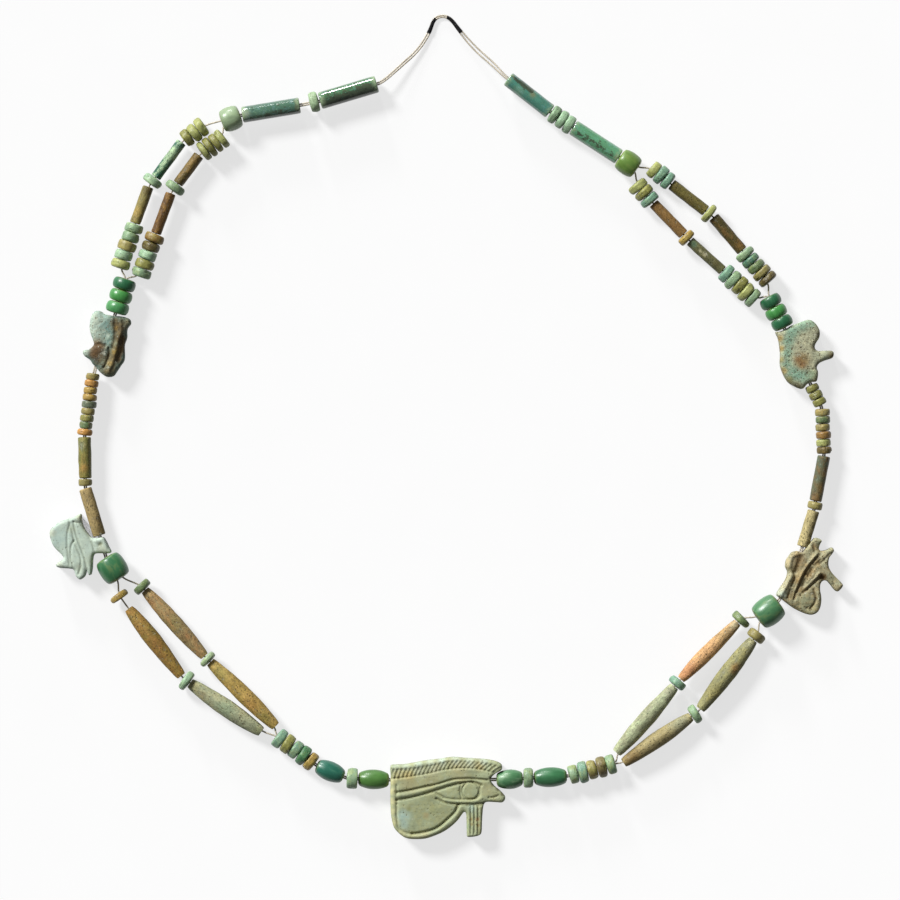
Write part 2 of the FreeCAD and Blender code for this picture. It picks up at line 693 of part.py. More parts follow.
def arc_points(before, corner, after):
    """The points of the arc that rounds a corner of a route, as large as its two runs allow."""
    back, on = before - corner, after - corner
    reach = arc_share * min(back.Length, on.Length)
    back, on = back.normalize(), on.normalize()
    half_turn = (math.pi - back.getAngle(on)) / 2
    radius = reach / math.tan(half_turn)
    centre = corner + (back + on).normalize() * (radius / math.cos(half_turn))
    first, last = corner + back * reach - centre, corner + on * reach - centre
    sweep = first.getAngle(last)
    points = []
    for i in range(arc_steps + 1):
        share = i / arc_steps
        spoke = first * math.sin((1 - share) * sweep) + last * math.sin(share * sweep)
        points.append(centre + spoke * (1 / math.sin(sweep)))
    return points, radius


def rounded_route(points):
    """The points along a route's straight runs and arcs, where each corner's own points start, and the radii."""
    path, starts, radii = [points[0]], [0], []
    for before, corner, after in zip(points, points[1:], points[2:]):
        arc, radius = arc_points(before, corner, after)
        starts.append(len(path))
        path += arc
        radii.append(radius)
    return path + [points[-1]], starts, radii


def free_middle(left_end, right_end):
    """The points midway between the free thread's strands. It leaves both back tubes in line with their bores."""
    middle = [left_end, left_end + ahead(left_side[-1].heading, free_lead)]
    middle += [FreeCAD.Vector(x, y, z) for (x, y), z in zip(free_route, free_heights)]
    return middle + [right_end + ahead(right_side[-1].heading, free_lead), right_end]


def strand_route(middle, side):
    """One strand's points, beside the middle ones."""
    spacings = [thread_spacing] * 2 + free_spacings + [thread_spacing] * 2
    steps = [b - a for a, b in zip(middle, middle[1:])]
    bends = [before + after for before, after in zip(steps[1:-2], steps[2:-1])]
    route = []
    for point, spacing, along in zip(middle, spacings, steps[:1] * 2 + bends + steps[-1:] * 2):
        level = FreeCAD.Vector(-along.y, along.x, 0).normalize()
        route.append(point + level * (side * spacing / 2))
    return route


def binding_ends(middle):
    """Where each binding starts and ends among the middle points, beside the two highest."""
    left_top, right_top = sorted(sorted(range(len(middle)), key=lambda i: middle[i].y)[-2:])
    return [(left_top - 1, left_top), (right_top, right_top + 1)]


def make_free_thread(necklace, left_end, right_end):
    """The free thread's two strands between the two back tubes, and the binding on each side of its top."""
    middle = free_middle(left_end, right_end)
    for side in (1, -1):
        path, _, radii = rounded_route(strand_route(middle, side))
        strand = thread_solid(path, [thread_d] * len(path), thread_sides, False)
        necklace.add("free_thread", strand)
        length = sum((b - a).Length for a, b in zip(path, path[1:]))
        print("free strand's radii", [round(r, 2) for r in radii])
        print("free strand's length", round(length, 2), "volume", round(strand.Volume, 3))
    path, starts, _ = rounded_route(middle)
    ends_d = [(binding_foot_d, binding_top_d), (binding_top_d, binding_foot_d)]
    for (near, far), (near_d, far_d) in zip(binding_ends(middle), ends_d):
        stretch = path[starts[near] + 1:starts[far] + 2]
        count = len(stretch) - 1
        diameters = [near_d + (far_d - near_d) * i / count for i in range(count + 1)]
        necklace.add("black_bindings", thread_solid(stretch, diameters, bead_sides, False))


def at_height(points, height):
    return [FreeCAD.Vector(p.x, p.y, height) for p in points]


def strung_threads(necklace, left, right):
    """The two threads inside the beads. Returns the middle of their left ends and of their right ends."""
    middle = amulet_bore(main_amulet)[1] * (1 / 2)
    ends = []
    for name, side, left_stretches, right_stretches in zip(
        ("outer_thread", "inner_thread"), (-1, 1), left, right
    ):
        centre = middle + FreeCAD.Vector(0, side * thread_spacing / 2, 0)
        left_points = thread_points(centre, left_stretches)
        right_points = thread_points(centre, right_stretches)
        points = at_height(left_points[:0:-1] + right_points[1:], thread_height)
        necklace.add(name, thread_solid(points, [thread_d] * len(points), thread_sides, True))
        ends.append((points[0], points[-1]))
    return [(outer + inner) * (1 / 2) for outer, inner in zip(*ends)]


def main():
    os.makedirs("parts", exist_ok=True)
    necklace = Necklace()
    left_mouth, right_mouth = FreeCAD.Vector(), amulet_bore(main_amulet)[1]
    necklace.add(main_amulet.node, make_amulet(main_amulet, left_mouth))
    left = necklace.lay_side(left_side, left_mouth, 180, 1)
    right = necklace.lay_side(right_side, right_mouth, 0, -1)
    box = Part.makeCompound([s for solids in necklace.solids.values() for s in solids]).optimalBoundingBox()
    shift = FreeCAD.Vector(-box.Center.x, -box.Center.y, 0)
    left_end, right_end = strung_threads(necklace, left, right)
    for solids in necklace.solids.values():
        for solid in solids:
            solid.translate(shift)
    make_free_thread(necklace, left_end + shift, right_end + shift)
    for node, solids in necklace.solids.items():
        shape = solids[0] if len(solids) == 1 else Part.makeCompound(solids)
        shape.exportStep("parts/" + node + ".step")
    print(len(necklace.solids), "nodes; loop", round(box.XLength, 2), "x", round(box.YLength, 2), "base", box.ZMin)
    print("shift", shift, "ends", left_end + shift, right_end + shift)


main()
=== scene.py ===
"""Dresses an ancient faience necklace of five wedjat amulets with hand-made beads, carved reliefs and thread."""

import json
import math
from collections import namedtuple

import bpy
import numpy as np
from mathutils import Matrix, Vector
from mathutils.geometry import delaunay_2d_cdt


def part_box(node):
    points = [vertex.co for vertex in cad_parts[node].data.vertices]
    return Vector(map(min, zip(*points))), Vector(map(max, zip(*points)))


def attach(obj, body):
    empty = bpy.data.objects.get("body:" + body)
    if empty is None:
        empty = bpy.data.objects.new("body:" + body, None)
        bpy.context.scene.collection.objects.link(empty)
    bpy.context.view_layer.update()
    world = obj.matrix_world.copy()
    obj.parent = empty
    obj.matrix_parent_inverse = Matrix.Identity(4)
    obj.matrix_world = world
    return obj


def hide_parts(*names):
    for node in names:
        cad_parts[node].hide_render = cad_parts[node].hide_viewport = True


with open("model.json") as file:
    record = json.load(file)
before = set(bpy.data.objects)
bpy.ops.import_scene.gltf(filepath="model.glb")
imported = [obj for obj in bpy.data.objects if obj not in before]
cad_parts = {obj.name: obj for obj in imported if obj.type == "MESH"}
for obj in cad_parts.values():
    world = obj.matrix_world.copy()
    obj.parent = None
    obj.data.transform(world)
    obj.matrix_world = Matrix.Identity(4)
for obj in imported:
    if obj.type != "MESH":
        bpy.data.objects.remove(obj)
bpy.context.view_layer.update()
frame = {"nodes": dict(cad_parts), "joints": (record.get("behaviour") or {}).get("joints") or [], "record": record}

MM = 0.001
PHOTO_PIXEL = 0.22 * MM
PHOTO_CENTRE = (446.39, 455.82)
PHOTO_SIZE = 900
UP = np.array([0.0, 0.0, 1.0])
TURN = 2 * math.pi
ANY_ANGLE = 6.28

# Colours of faience and glaze, some also used for painted highlights and painted shade, as sRGB numbers from 0 to 255
PALETTE = {name: tuple(map(int, numbers)) for name, *numbers in (row.split() for row in """
    aqua 120 162 136; seafoam 150 182 146; sage 138 168 130; celery 166 172 104; olive 138 138 74; moss 104 126 84;
    khaki 150 140 84; ochre 168 140 70; honey 190 162 88; orange 190 140 72; umber 92 80 46; tobacco 142 110 58;
    chestnut 130 86 48; sand 180 158 108; greige 168 176 146; bone 188 188 158; cream 208 202 164; salmon 216 170 118;
    terracotta 196 130 90; putty 178 180 142; tan 168 130 84; rust 138 74 36; pine 40 104 66; deep_pine 58 116 74;
    leaf 76 122 54; grass 66 140 68; jade 74 146 84; teal 40 108 88; petrol 60 108 90; turquoise 42 122 108;
    emerald 78 150 108; pitch 22 26 20; lichen 106 142 62; pale_jade 158 182 142; fern 74 124 82; spruce 84 128 104;
    slate 104 116 92; cheek 174 180 144; drab 116 108 56; bronze 106 92 50; parchment 186 172 122; taupe 118 106 70;
    walnut 104 76 42; soil 88 80 44; deep_teal 46 92 78; honey_green 160 158 112; khaki_grey 110 110 74;
    tan_brown 148 116 68; wedjat 168 177 140; stone 154 162 126; primrose 206 202 152; celadon 193 210 195;
    frost 204 222 204; lagoon 128 174 150; turquoise_white 168 200 196; bark 64 46 26; thread 214 204 184;
    soot 26 26 28; chalk 224 224 200""".split(";"))}


def linear(colour):
    """A colour's name or sRGB numbers as the linear values that shaders use."""
    c = np.asarray(PALETTE.get(colour, colour) if isinstance(colour, str) else colour, float) / 255
    return np.where(c <= 0.04045, c / 12.92, ((c + 0.055) / 1.055) ** 2.4)


def lerp(a, b, t):
    return a + (b - a) * t


def read_points(text):
    """A line's points, written as x,y."""
    return [tuple(float(c) for c in pair.split(",")) for pair in text.split()]


def read_cuts(text):
    """Cuts, each written as its width, depth and dirt and then its points."""
    rows = [cut.split(None, 3) for cut in text.split(";")]
    return [(*(float(number) for number in row[:3]), read_points(row[3])) for row in rows]


def read_spots(text):
    """Spots, each written as numbers, a colour's name and a strength."""
    rows = [spot.split(",") for spot in text.split()]
    return [(*(float(number) for number in row[:-2]), row[-2], float(row[-1])) for row in rows]


# ---------------------------------------------------------------- materials


class Graph:
    """A small helper for building a material's nodes."""

    def __init__(self, name):
        self.material = bpy.data.materials.new(name)
        self.material.use_nodes = True
        self.tree = self.material.node_tree
        self.shader = self.tree.nodes["Principled BSDF"]

    def put(self, socket, value):
        if isinstance(value, bpy.types.NodeSocket):
            self.tree.links.new(value, socket)
        else:
            socket.default_value = value

    def node(self, kind, values=(), **settings):
        n = self.tree.nodes.new(kind)
        for key, value in settings.items():
            setattr(n, key, value)
        for key, value in dict(values).items():
            self.put(n.inputs[key], value)
        return n

    def set(self, key, value):
        self.put(self.shader.inputs[key], value)

    def math(self, operation, a, b=0.0):
        return self.node("ShaderNodeMath", {0: a, 1: b}, operation=operation).outputs[0]

    def times(self, *values):
        result = values[0]
        for value in values[1:]:
            result = self.math("MULTIPLY", result, value)
        return result

    def mix(self, fac, a, b):
        """Colour a where fac is 0 and colour b where it is 1."""
        n = self.node("ShaderNodeMix", data_type="RGBA", clamp_factor=True)
        sockets = {s.identifier: s for s in n.inputs}
        for key, value in (("Factor_Float", fac), ("A_Color", a), ("B_Color", b)):
            plain = key != "Factor_Float" and not isinstance(value, bpy.types.NodeSocket)
            self.put(sockets[key], (*value, 1) if plain else value)
        return next(s for s in n.outputs if s.identifier == "Result_Color")

    def ramp(self, value, low, high):
        """0 below low and 1 above high, smooth between them."""
        return self.node("ShaderNodeMapRange", {"Value": value, "From Min": low, "From Max": high},
                         interpolation_type="SMOOTHSTEP").outputs[0]

    def noise(self, vector, scale, detail=5.0, roughness=0.55, distortion=0.0):
        return self.node("ShaderNodeTexNoise", {
            "Vector": vector, "Scale": scale, "Detail": detail, "Roughness": roughness, "Distortion": distortion,
        }).outputs["Fac"]

    def specks(self, vector, scale, size, share):
        """Scattered round spots in that share of the cells, 1 at their middles."""
        n = self.node("ShaderNodeTexVoronoi", {"Vector": vector, "Scale": scale, "Randomness": 1.0})
        chance = self.node("ShaderNodeSeparateColor", {0: n.outputs["Color"]}).outputs[0]
        round_spots = self.ramp(n.outputs["Distance"], size, size * 0.35)
        return self.times(round_spots, self.ramp(chance, 1 - share, 1.02 - share))

    def start(self, stretch):
        """The piece's own colours and masks, and its places, drawn out along its bore."""
        for name in ("tint", "stain", "masks"):
            setattr(self, name, self.node("ShaderNodeAttribute", attribute_name=name).outputs)
        masks = self.node("ShaderNodeSeparateColor", {0: self.masks["Color"]}).outputs
        self.rim, self.patch, self.hollow = masks[0], masks[1], self.masks["Alpha"]
        place = self.node("ShaderNodeAttribute", attribute_name="local").outputs["Vector"]
        shrunk = self.node("ShaderNodeVectorMath", {0: place, 1: (1 / stretch, 1, 1)}, operation="MULTIPLY")
        self.place = shrunk.outputs[0]

    def shade(self, colour, value, low, high):
        """A colour made darker to lighter, low to high times, as a value goes from 0.3 to 0.7."""
        level = self.node("ShaderNodeMapRange", {"Value": value, "From Min": 0.3, "From Max": 0.7, "To Min": low,
                                                 "To Max": high}).outputs[0]
        return self.node("ShaderNodeHueSaturation", {"Value": level, "Color": colour}).outputs[0]

    def bump(self, *layers):
        """Stacks bumps, each a height, a strength and a depth in metres."""
        normal = None
        for height, strength, distance in layers:
            n = self.node("ShaderNodeBump", {"Height": height, "Strength": strength, "Distance": distance})
            if normal is not None:
                self.put(n.inputs["Normal"], normal)
            normal = n.outputs[0]
        self.set("Normal", normal)


def faience(name, rough, grain, speckle, stretch=1.0, pale=0.35, share=0.35, shine=0.25, size=1.0):
    """Worn faience: stained, mottled, speckled and pitted, paler on its rims and darker in its hollows."""
    g = Graph(name)
    g.start(stretch)
    broad = g.noise(g.place, 380, 4, 0.6, 0.5)
    middle = g.noise(g.place, 1100, 6, 0.66, 0.3)
    fine = g.noise(g.place, 4200, 4, 0.7)
    pits = g.specks(g.place, 1500 * size, 0.34, share)
    dots = g.specks(g.place, 3000 * size, 0.4, share)
    stain = g.stain["Color"]
    dark = g.shade(stain, 0.0, 0.36, 0.36)
    colour = g.mix(g.times(g.ramp(g.math("ADD", g.times(broad, 0.5), g.times(middle, 0.5)), 0.45, 0.58),
                           g.stain["Alpha"]), g.tint["Color"], stain)
    for noise, darker, lighter in ((broad, 0.14, 0.16), (middle, 0.3, 0.24), (fine, 0.22, 0.16)):
        colour = g.shade(colour, noise, 1 - darker * grain, 1 + lighter * grain)
    colour = g.mix(g.times(g.ramp(middle, 0.42, 0.3), pale), colour, linear("chalk"))
    for specks in (dots, pits):
        colour = g.mix(g.times(specks, speckle), colour, dark)
    worn = g.shade(colour, 0.0, 1.24, 1.24)
    colour = g.mix(g.times(g.rim, g.ramp(middle, 0.38, 0.6), 0.75), colour, worn)
    colour = g.mix(g.times(g.hollow, 0.85), colour, dark)
    g.set("Base Color", colour)
    g.set("Roughness", g.math("ADD", g.times(middle, 0.34), rough - 0.17))
    g.set("Specular IOR Level", shine)
    sunk = g.times(g.math("ADD", pits, g.times(dots, 0.5)), -1.0)
    g.bump((middle, min(0.55 * grain, 1.0), 0.00022), (sunk, 0.6, 0.00012), (fine, min(0.4 * grain, 1.0), 0.00006))
    return g.material


def glaze(name, rough=0.32, stretch=2.5):
    """Thick soft-shining glaze: faintly streaked along the bead, thin and pale on its rims."""
    g = Graph(name)
    g.start(stretch)
    broad = g.noise(g.place, 300, 3, 0.5, 0.4)
    middle = g.noise(g.place, 1100, 5, 0.6, 0.3)
    dots = g.specks(g.place, 1500, 0.26, 0.2)
    colour = g.shade(g.shade(g.tint["Color"], broad, 0.82, 1.14), middle, 0.84, 1.14)
    colour = g.mix(g.times(g.ramp(middle, 0.5, 0.68), g.stain["Alpha"]), colour, g.stain["Color"])
    colour = g.mix(g.times(g.rim, g.ramp(middle, 0.3, 0.6), 0.5), colour, linear("celery"))
    colour = g.mix(g.times(dots, 0.4), colour, g.shade(colour, 0.0, 0.45, 0.45))
    colour = g.mix(g.times(g.hollow, 0.85), colour, linear("bark"))
    g.set("Base Color", colour)
    g.set("Roughness", g.math("ADD", g.times(g.ramp(middle, 0.35, 0.75), 0.2), rough))
    g.set("Coat Weight", 0.25)
    g.set("Coat Roughness", 0.28)
    g.set("Specular IOR Level", 0.5)
    g.bump((broad, 0.3, 0.0003), (middle, 0.3, 0.0001), (dots, -0.6, 0.00006))
    return g.material


def mottled(name):
    """Bright glaze with black manganese patches where the patch mask is high, and brown and pale flecks."""
    g = Graph(name)
    g.start(1.3)
    broad = g.noise(g.place, 420, 5, 0.62, 1.0)
    middle = g.noise(g.place, 1000, 7, 0.68, 0.8)
    fine = g.noise(g.place, 3400, 4, 0.65)
    dots = g.specks(g.place, 1300, 0.42, 0.4)
    blotch = g.math("ADD", g.times(broad, 0.3), g.times(middle, 0.7))
    level = g.math("ADD", blotch, g.times(g.math("SUBTRACT", g.patch, 0.5), 0.34))
    colour = g.shade(g.shade(g.tint["Color"], broad, 0.82, 1.18), fine, 0.86, 1.14)
    colour = g.mix(g.times(g.ramp(middle, 0.5, 0.34), 0.5), colour, g.mix(0.5, colour, linear("turquoise_white")))
    colour = g.mix(g.times(g.ramp(fine, 0.55, 0.66), g.stain["Alpha"], 0.8), colour, g.stain["Color"])
    colour = g.mix(g.times(g.ramp(level, 0.56, 0.61), 0.94), colour, linear("pitch"))
    colour = g.mix(g.times(dots, g.ramp(level, 0.38, 0.5), 0.8), colour, linear("pitch"))
    colour = g.mix(g.times(g.rim, g.ramp(middle, 0.34, 0.56), 0.8), colour, linear("pale_jade"))
    colour = g.mix(g.times(g.hollow, 0.85), colour, linear("pitch"))
    g.set("Base Color", colour)
    g.set("Roughness", g.math("ADD", g.times(g.ramp(fine, 0.4, 0.8), 0.2), 0.14))
    g.set("Coat Weight", 0.8)
    g.set("Coat Roughness", 0.08)
    g.set("Specular IOR Level", 0.5)
    g.bump((broad, 0.06, 0.00014), (dots, -0.3, 0.00003))
    return g.material


def yarn(name, colour, rough, stripe):
    """Dull spun thread, with short fibres and a darker, dirtier side here and there."""
    g = Graph(name)
    place = g.node("ShaderNodeTexCoord").outputs["Object"]
    fibre = g.noise(place, 9000, 5, 0.7, 1.5)
    base = linear(colour)
    strands = g.mix(g.times(g.ramp(fibre, 0.42, 0.62), stripe), base, base * 0.55)
    g.set("Base Color", g.mix(g.times(g.ramp(g.noise(place, 500, 4, 0.6), 0.5, 0.7), 0.35), strands,
                              linear((150, 128, 92)) * (base.mean() + 0.1)))
    g.set("Roughness", rough)
    g.set("Specular IOR Level", 0.2)
    g.bump((fibre, 0.7, 0.00008))
    return g.material


MATERIALS = {
    "disc": faience("disc_faience", 0.4, 0.85, 0.45, 1.0, 0.25, 0.25, 0.45),
    "spindle": faience("spindle_faience", 0.6, 1.6, 0.8, 1.5, 0.3, 0.5, size=1.35),
    "tube": faience("tube_faience", 0.45, 1.5, 0.6, 1.7, 0.2, 0.4, size=1.4),
    "glaze": glaze("green_glaze"),
    "wide": mottled("mottled_glaze"),
    "amulet": faience("amulet_faience", 0.6, 0.5, 0.5, 1.0, 0.25, 0.16),
    "grainy": faience("grainy_amulet_faience", 0.66, 1.25, 0.85, 1.0, 0.6, 0.5),
    "thread": yarn("spun_thread", "thread", 0.85, 0.6),
    "binding": yarn("black_wound_thread", "soot", 0.7, 0.5),
}


# ---------------------------------------------------------------- meshes

BODIES = {node: body for body, nodes in frame["record"]["behaviour"]["bodies"].items() for node in nodes}
JOINT_AXES = {j["child"]: np.array(j["axis"], float) for j in frame["joints"]}
JOINT_PLACES = {j["child"]: np.array(j["pos_m"], float) for j in frame["joints"]}


def dress(piece, node):
    """Lets a piece stand for a CAD node, on its body."""
    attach(piece, BODIES[node])
    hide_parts(node)


def turns(sides):
    """The angles of a ring's corners."""
    return np.arange(sides) * TURN / sides


def waves(points, size, rng, count=9):
    """A smooth random field over points, about -1 to 1, with features of about that size."""
    directions = rng.normal(size=(count, 3))
    directions /= np.linalg.norm(directions, axis=1)[:, None]
    directions *= (TURN / size) * rng.uniform(0.6, 1.4, (count, 1))
    phases = rng.uniform(0, TURN, count)
    return np.cos(points @ directions.T + phases).sum(1) / math.sqrt(count)


def add_object(name, data):
    """A new object in the scene."""
    thing = bpy.data.objects.new(name, data)
    bpy.context.scene.collection.objects.link(thing)
    return thing


def make_object(name, verts, faces, material, paint=None):
    """An object of one mesh. Paint holds values for each vertex: tint, stain and masks, and local places."""
    mesh = bpy.data.meshes.new(name)
    mesh.from_pydata([tuple(v) for v in verts], [], faces)
    for key, values in (paint or {}).items():
        if key == "local":
            layer, content = mesh.attributes.new(key, "FLOAT_VECTOR", "POINT"), "vector"
        else:
            layer, content = mesh.color_attributes.new(key, "FLOAT_COLOR", "POINT"), "color"
        layer.data.foreach_set(content, values.astype(np.float32).ravel())
    mesh.polygons.foreach_set("use_smooth", [True] * len(mesh.polygons))
    mesh.materials.append(material)
    mesh.update()
    return add_object(name, mesh)


def solids_of(node):
    """The vertices of each separate solid of a CAD node, in metres."""
    mesh = frame["nodes"][node].data
    places, owner = {}, {}
    for v in mesh.vertices:
        owner[v.index] = places.setdefault(tuple(round(c, 7) for c in v.co), len(places))
    parent = list(range(len(places)))

    def root(i):
        while parent[i] != i:
            parent[i] = parent[parent[i]]
            i = parent[i]
        return i

    for p in mesh.polygons:
        first = root(owner[p.vertices[0]])
        for v in p.vertices[1:]:
            parent[root(owner[v])] = first
    groups = {}
    for key, index in places.items():
        groups.setdefault(root(index), []).append(key)
    return [np.array(g) for g in groups.values()]


def level_axis(node, points):
    """A bore's direction: the level face normal of a node that the bead's vertices lie in the fewest planes across."""
    found = {}
    for p in frame["nodes"][node].data.polygons:
        if abs(p.normal.z) < 0.002:
            n = np.array(p.normal) * (1 if (p.normal.x, p.normal.y) > (0, 0) else -1)
            found[(round(n[0], 3), round(n[1], 3))] = n / np.linalg.norm(n)
    return min(found.values(), key=lambda n: len(set(np.round(points @ n, 6))))


class Bead:
    """Where a bead of the CAD model is: its axis' start and direction, its length and its radii, in metres."""

    def __init__(self, points, axis):
        self.axis = axis / np.linalg.norm(axis)
        self.side = np.cross(UP, self.axis)
        along, beside = points @ self.axis, points @ self.side
        height = (points[:, 2].min() + points[:, 2].max()) / 2
        self.length = along.max() - along.min()
        middle = (beside.min() + beside.max()) / 2
        self.start = self.axis * along.min() + self.side * middle + UP * height
        away = np.hypot(beside - middle, points[:, 2] - height)
        self.radius = away.max()
        self.end_radius = away[along < along.min() + 1e-6].max()
        self.bore = away.min()
        self.order = along.min()

    def middle(self):
        return self.start + self.axis * (self.length / 2)

    def end(self):
        return self.start + self.axis * self.length

    def place(self, along, beside, up):
        return self.start + np.outer(along, self.axis) + np.outer(beside, self.side) + np.outer(up, UP)


def beads_of(node):
    """A node's beads in their order along its joint's axis, or where it has no joint, in no set order."""
    if node not in JOINT_AXES:
        return [Bead(points, level_axis(node, points)) for points in solids_of(node)]
    return sorted((Bead(points, JOINT_AXES[node]) for points in solids_of(node)), key=lambda b: b.order)


def rounding(x, r, wide, deep, turn_from, turn_to):
    """Points on a quarter round of half-widths wide and deep about x, r."""
    return [(x + wide * math.cos(a), r + deep * math.sin(a)) for a in np.radians(np.linspace(turn_from, turn_to, 6))]


# A form of bead: its sides, unevenness and lengthwise rows, how full its swelling is, how much its rim is rounded, its
# ends' largest share of its radius, its lumps and the tilt of its ends as shares of its radius, one more than its most
# chips, and its size against its solid, which keeps some clear of the floor and of a turning amulet
Form = namedtuple("Form", "sides uneven rows power blunt ends lumps tilt chips shrink")
FORMS = {
    "disc": Form(44, 0.05, 5, 0, 0, 1, 0.016, 0.1, 3, 1.0),
    "tube": Form(36, 0.035, 24, 0, 0, 1, 0.02, 0.06, 3, 1.0),
    "smooth_tube": Form(44, 0.02, 24, 0, 0, 1, 0.006, 0.0, 0, 1.0),
    "spindle": Form(40, 0.03, 34, 0.95, 0.12, 1, 0.022, 0.05, 3, 1.0),
    "barrel": Form(44, 0.015, 26, 0.85, 0.3, 0.56, 0.006, 0.0, 0, 1.0),
    "glossy": Form(44, 0.03, 18, 0.5, 0.2, 0.72, 0.006, 0.06, 0, 0.98),
    "junction": Form(52, 0.02, 26, 0.5, 0.3, 0.66, 0.006, 0.0, 0, 0.97),
}
# A strung node's form and material, by how its name ends
LOOKS = [
    ("barrel_bead", "barrel", "glaze"), ("glossy_beads", "glossy", "glaze"), ("wide_tube", "smooth_tube", "wide"),
    ("lower_side_tube", "tube", "spindle"), ("tube", "tube", "tube"), ("spindle", "spindle", "spindle"),
    ("", "disc", "disc"),
]
BORE_SHARE = 0.97


def side_profile(kind, length, radius, end_radius, rng):
    """The outside's points (along, radius, rim mask) from one rim to the other."""
    form, rows = FORMS[kind], []
    if kind in ("disc", "tube", "smooth_tube"):
        if kind == "disc":
            first, last = (rng.uniform(0.28, 0.46) * length for _ in range(2))
            deep = [rng.uniform(0.14, 0.28) * radius for _ in range(2)]
        else:
            first = last = 0.2 * radius
            deep = [first, last]
        rows += [(x, r, 1.0) for x, r in rounding(first, radius - deep[0], first, deep[0], 180, 90)]
        rows += [(lerp(first, length - last, t), radius, 0.2) for t in np.linspace(0.08, 0.92, form.rows)]
        rows += [(x, r, 1.0) for x, r in rounding(length - last, radius - deep[1], last, deep[1], 90, 0)]
        return rows
    lean = rng.uniform(-0.07, 0.07) if kind == "spindle" else 0.0
    for t in np.linspace(0, 1, form.rows):
        x = 0.5 - 0.5 * math.cos(math.pi * t)
        bent = x + lean * math.sin(math.pi * x)
        grown = max(math.sin(math.pi * bent), 0.0) if kind == "spindle" else 1 - abs(2 * x - 1) ** 2.1
        r = lerp(end_radius, radius, grown ** form.power if grown > 0 else 0.0)
        near = min(x, 1 - x) * 2
        r -= form.blunt * end_radius * max(0.0, 1 - near / 0.12) ** 2
        rows.append((x * length, r, max(0.0, 1 - near / 0.2)))
    return rows


def closed_rings(profile, sides):
    """The faces between rings of vertices, one ring for each point of a closed profile."""
    rings = len(profile)
    return [(i * sides + k, i * sides + (k + 1) % sides, (i + 1) % rings * sides + (k + 1) % sides,
             (i + 1) % rings * sides + k) for i in range(rings) for k in range(sides)]


def bead_mesh(bead, kind, tint, stain, amount, rng, before=0.0, after=0.0, patch=None, spots=()):
    """One bead: a closed ring of profile points turned round its bore, then worn, chipped and made uneven."""
    form = FORMS[kind]
    length = bead.length + before + after
    grown = rng.uniform(0.94, 1.04) if kind == "disc" else 1.0
    radius = bead.radius * form.shrink * grown
    end_radius = min(bead.end_radius * form.shrink, radius * form.ends)
    bore = bead.bore * BORE_SHARE
    rows = side_profile(kind, length, radius, end_radius, rng)
    first, last = rows[0], rows[-1]
    face = [(0.55, 0.2), (0.22, 0.5)]
    lip = min(0.12 * MM, 0.1 * length)
    profile = [(first[0], lerp(bore, first[1], s), 0.3, h) for s, h in reversed(face)]
    profile += [(x, r, rim, 0.0) for x, r, rim in rows]
    profile += [(last[0], lerp(bore, last[1], s), 0.3, h) for s, h in face]
    profile += [(length, bore + lip, 0.2, 0.7), (length - lip, bore, 0.0, 1.0)]
    profile += [(length * t, bore * 0.96, 0.0, 1.0) for t in (0.75, 0.5, 0.25)]
    profile += [(lip, bore, 0.0, 1.0), (0, bore + lip, 0.2, 0.7)]
    x, r, rim, hollow = (np.repeat(column, form.sides) for column in np.array(profile).T)
    angle = np.tile(turns(form.sides), len(profile))
    outer = np.clip((r - bore) / max(radius - bore, 1e-9), 0, 1)
    lobes = sum(a * np.cos(k * angle + rng.uniform(0, ANY_ANGLE)) for k, a in ((1, 0.7), (2, 0.5), (3, 0.3), (5, 0.15)))
    place = np.stack([x, r * np.cos(angle), r * np.sin(angle)], 1)
    lumps = waves(place, 3.2 * MM, rng) * 0.9 + waves(place, 1.2 * MM, rng) * 0.3
    r = r * (1 + outer * (form.uneven * (lobes - 0.9) + form.lumps * (lumps - 0.8)))
    tilt = form.tilt * radius
    near_start = np.clip(1 - x / (0.5 * length), 0, 1)
    near_end = np.clip(1 - (length - x) / (0.5 * length), 0, 1)
    x = x + near_start * outer * tilt * 0.5 * (1 + np.cos(angle + rng.uniform(0, ANY_ANGLE)))
    x = x - near_end * outer * tilt * 0.5 * (1 + np.cos(angle + rng.uniform(0, ANY_ANGLE)))
    for _ in range(rng.randint(0, form.chips) if form.chips else 0):
        at, wide, deep = rng.uniform(0, ANY_ANGLE), rng.uniform(0.16, 0.42), rng.uniform(0.05, 0.14) * radius
        turn = np.abs((angle - at + math.pi) % TURN - math.pi)
        edge = near_start if rng.rand() < 0.5 else near_end
        bite = np.exp(-(turn / wide) ** 2) * outer * np.clip(rim * 1.3, 0, 1) * (edge > 0.3)
        r = r - deep * bite
        rim = np.clip(rim + 0.6 * bite, 0, 1)
        hollow = np.clip(hollow + 0.3 * bite, 0, 1)
    verts = bead.place(x - before, r * np.cos(angle), r * np.sin(angle))
    ones = np.ones(len(verts))
    paint = {
        "tint": np.outer(ones, [*linear(tint) * rng.uniform(0.94, 1.06), 1.0]),
        "stain": np.outer(ones, [*linear(stain), amount]),
        "masks": np.stack([rim, ones * 0.0 if patch is None else patch(x / length, np.cos(angle)), ones, hollow], 1),
        "local": np.stack([x, r * np.cos(angle), r * np.sin(angle)], 1) + rng.uniform(0, 1, 3),
    }
    for along, beside, size, name, strength in spots:
        spot = bead.place([along * length], [beside * radius], [math.sqrt(max(0.0, 1 - beside ** 2)) * radius])
        add_spot(verts, paint["tint"], spot, size * MM, name, strength)
    return {"verts": verts, "faces": closed_rings(profile, form.sides), **paint}


def add_spot(verts, tints, centre, radius, name, strength):
    """Blends a soft coloured spot into a piece's own colours."""
    away = np.linalg.norm(verts - centre, axis=1) / radius
    fade = (strength * np.exp(-away ** 3))[:, None]
    tints[:, :3] = tints[:, :3] * (1 - fade) + linear(name) * fade


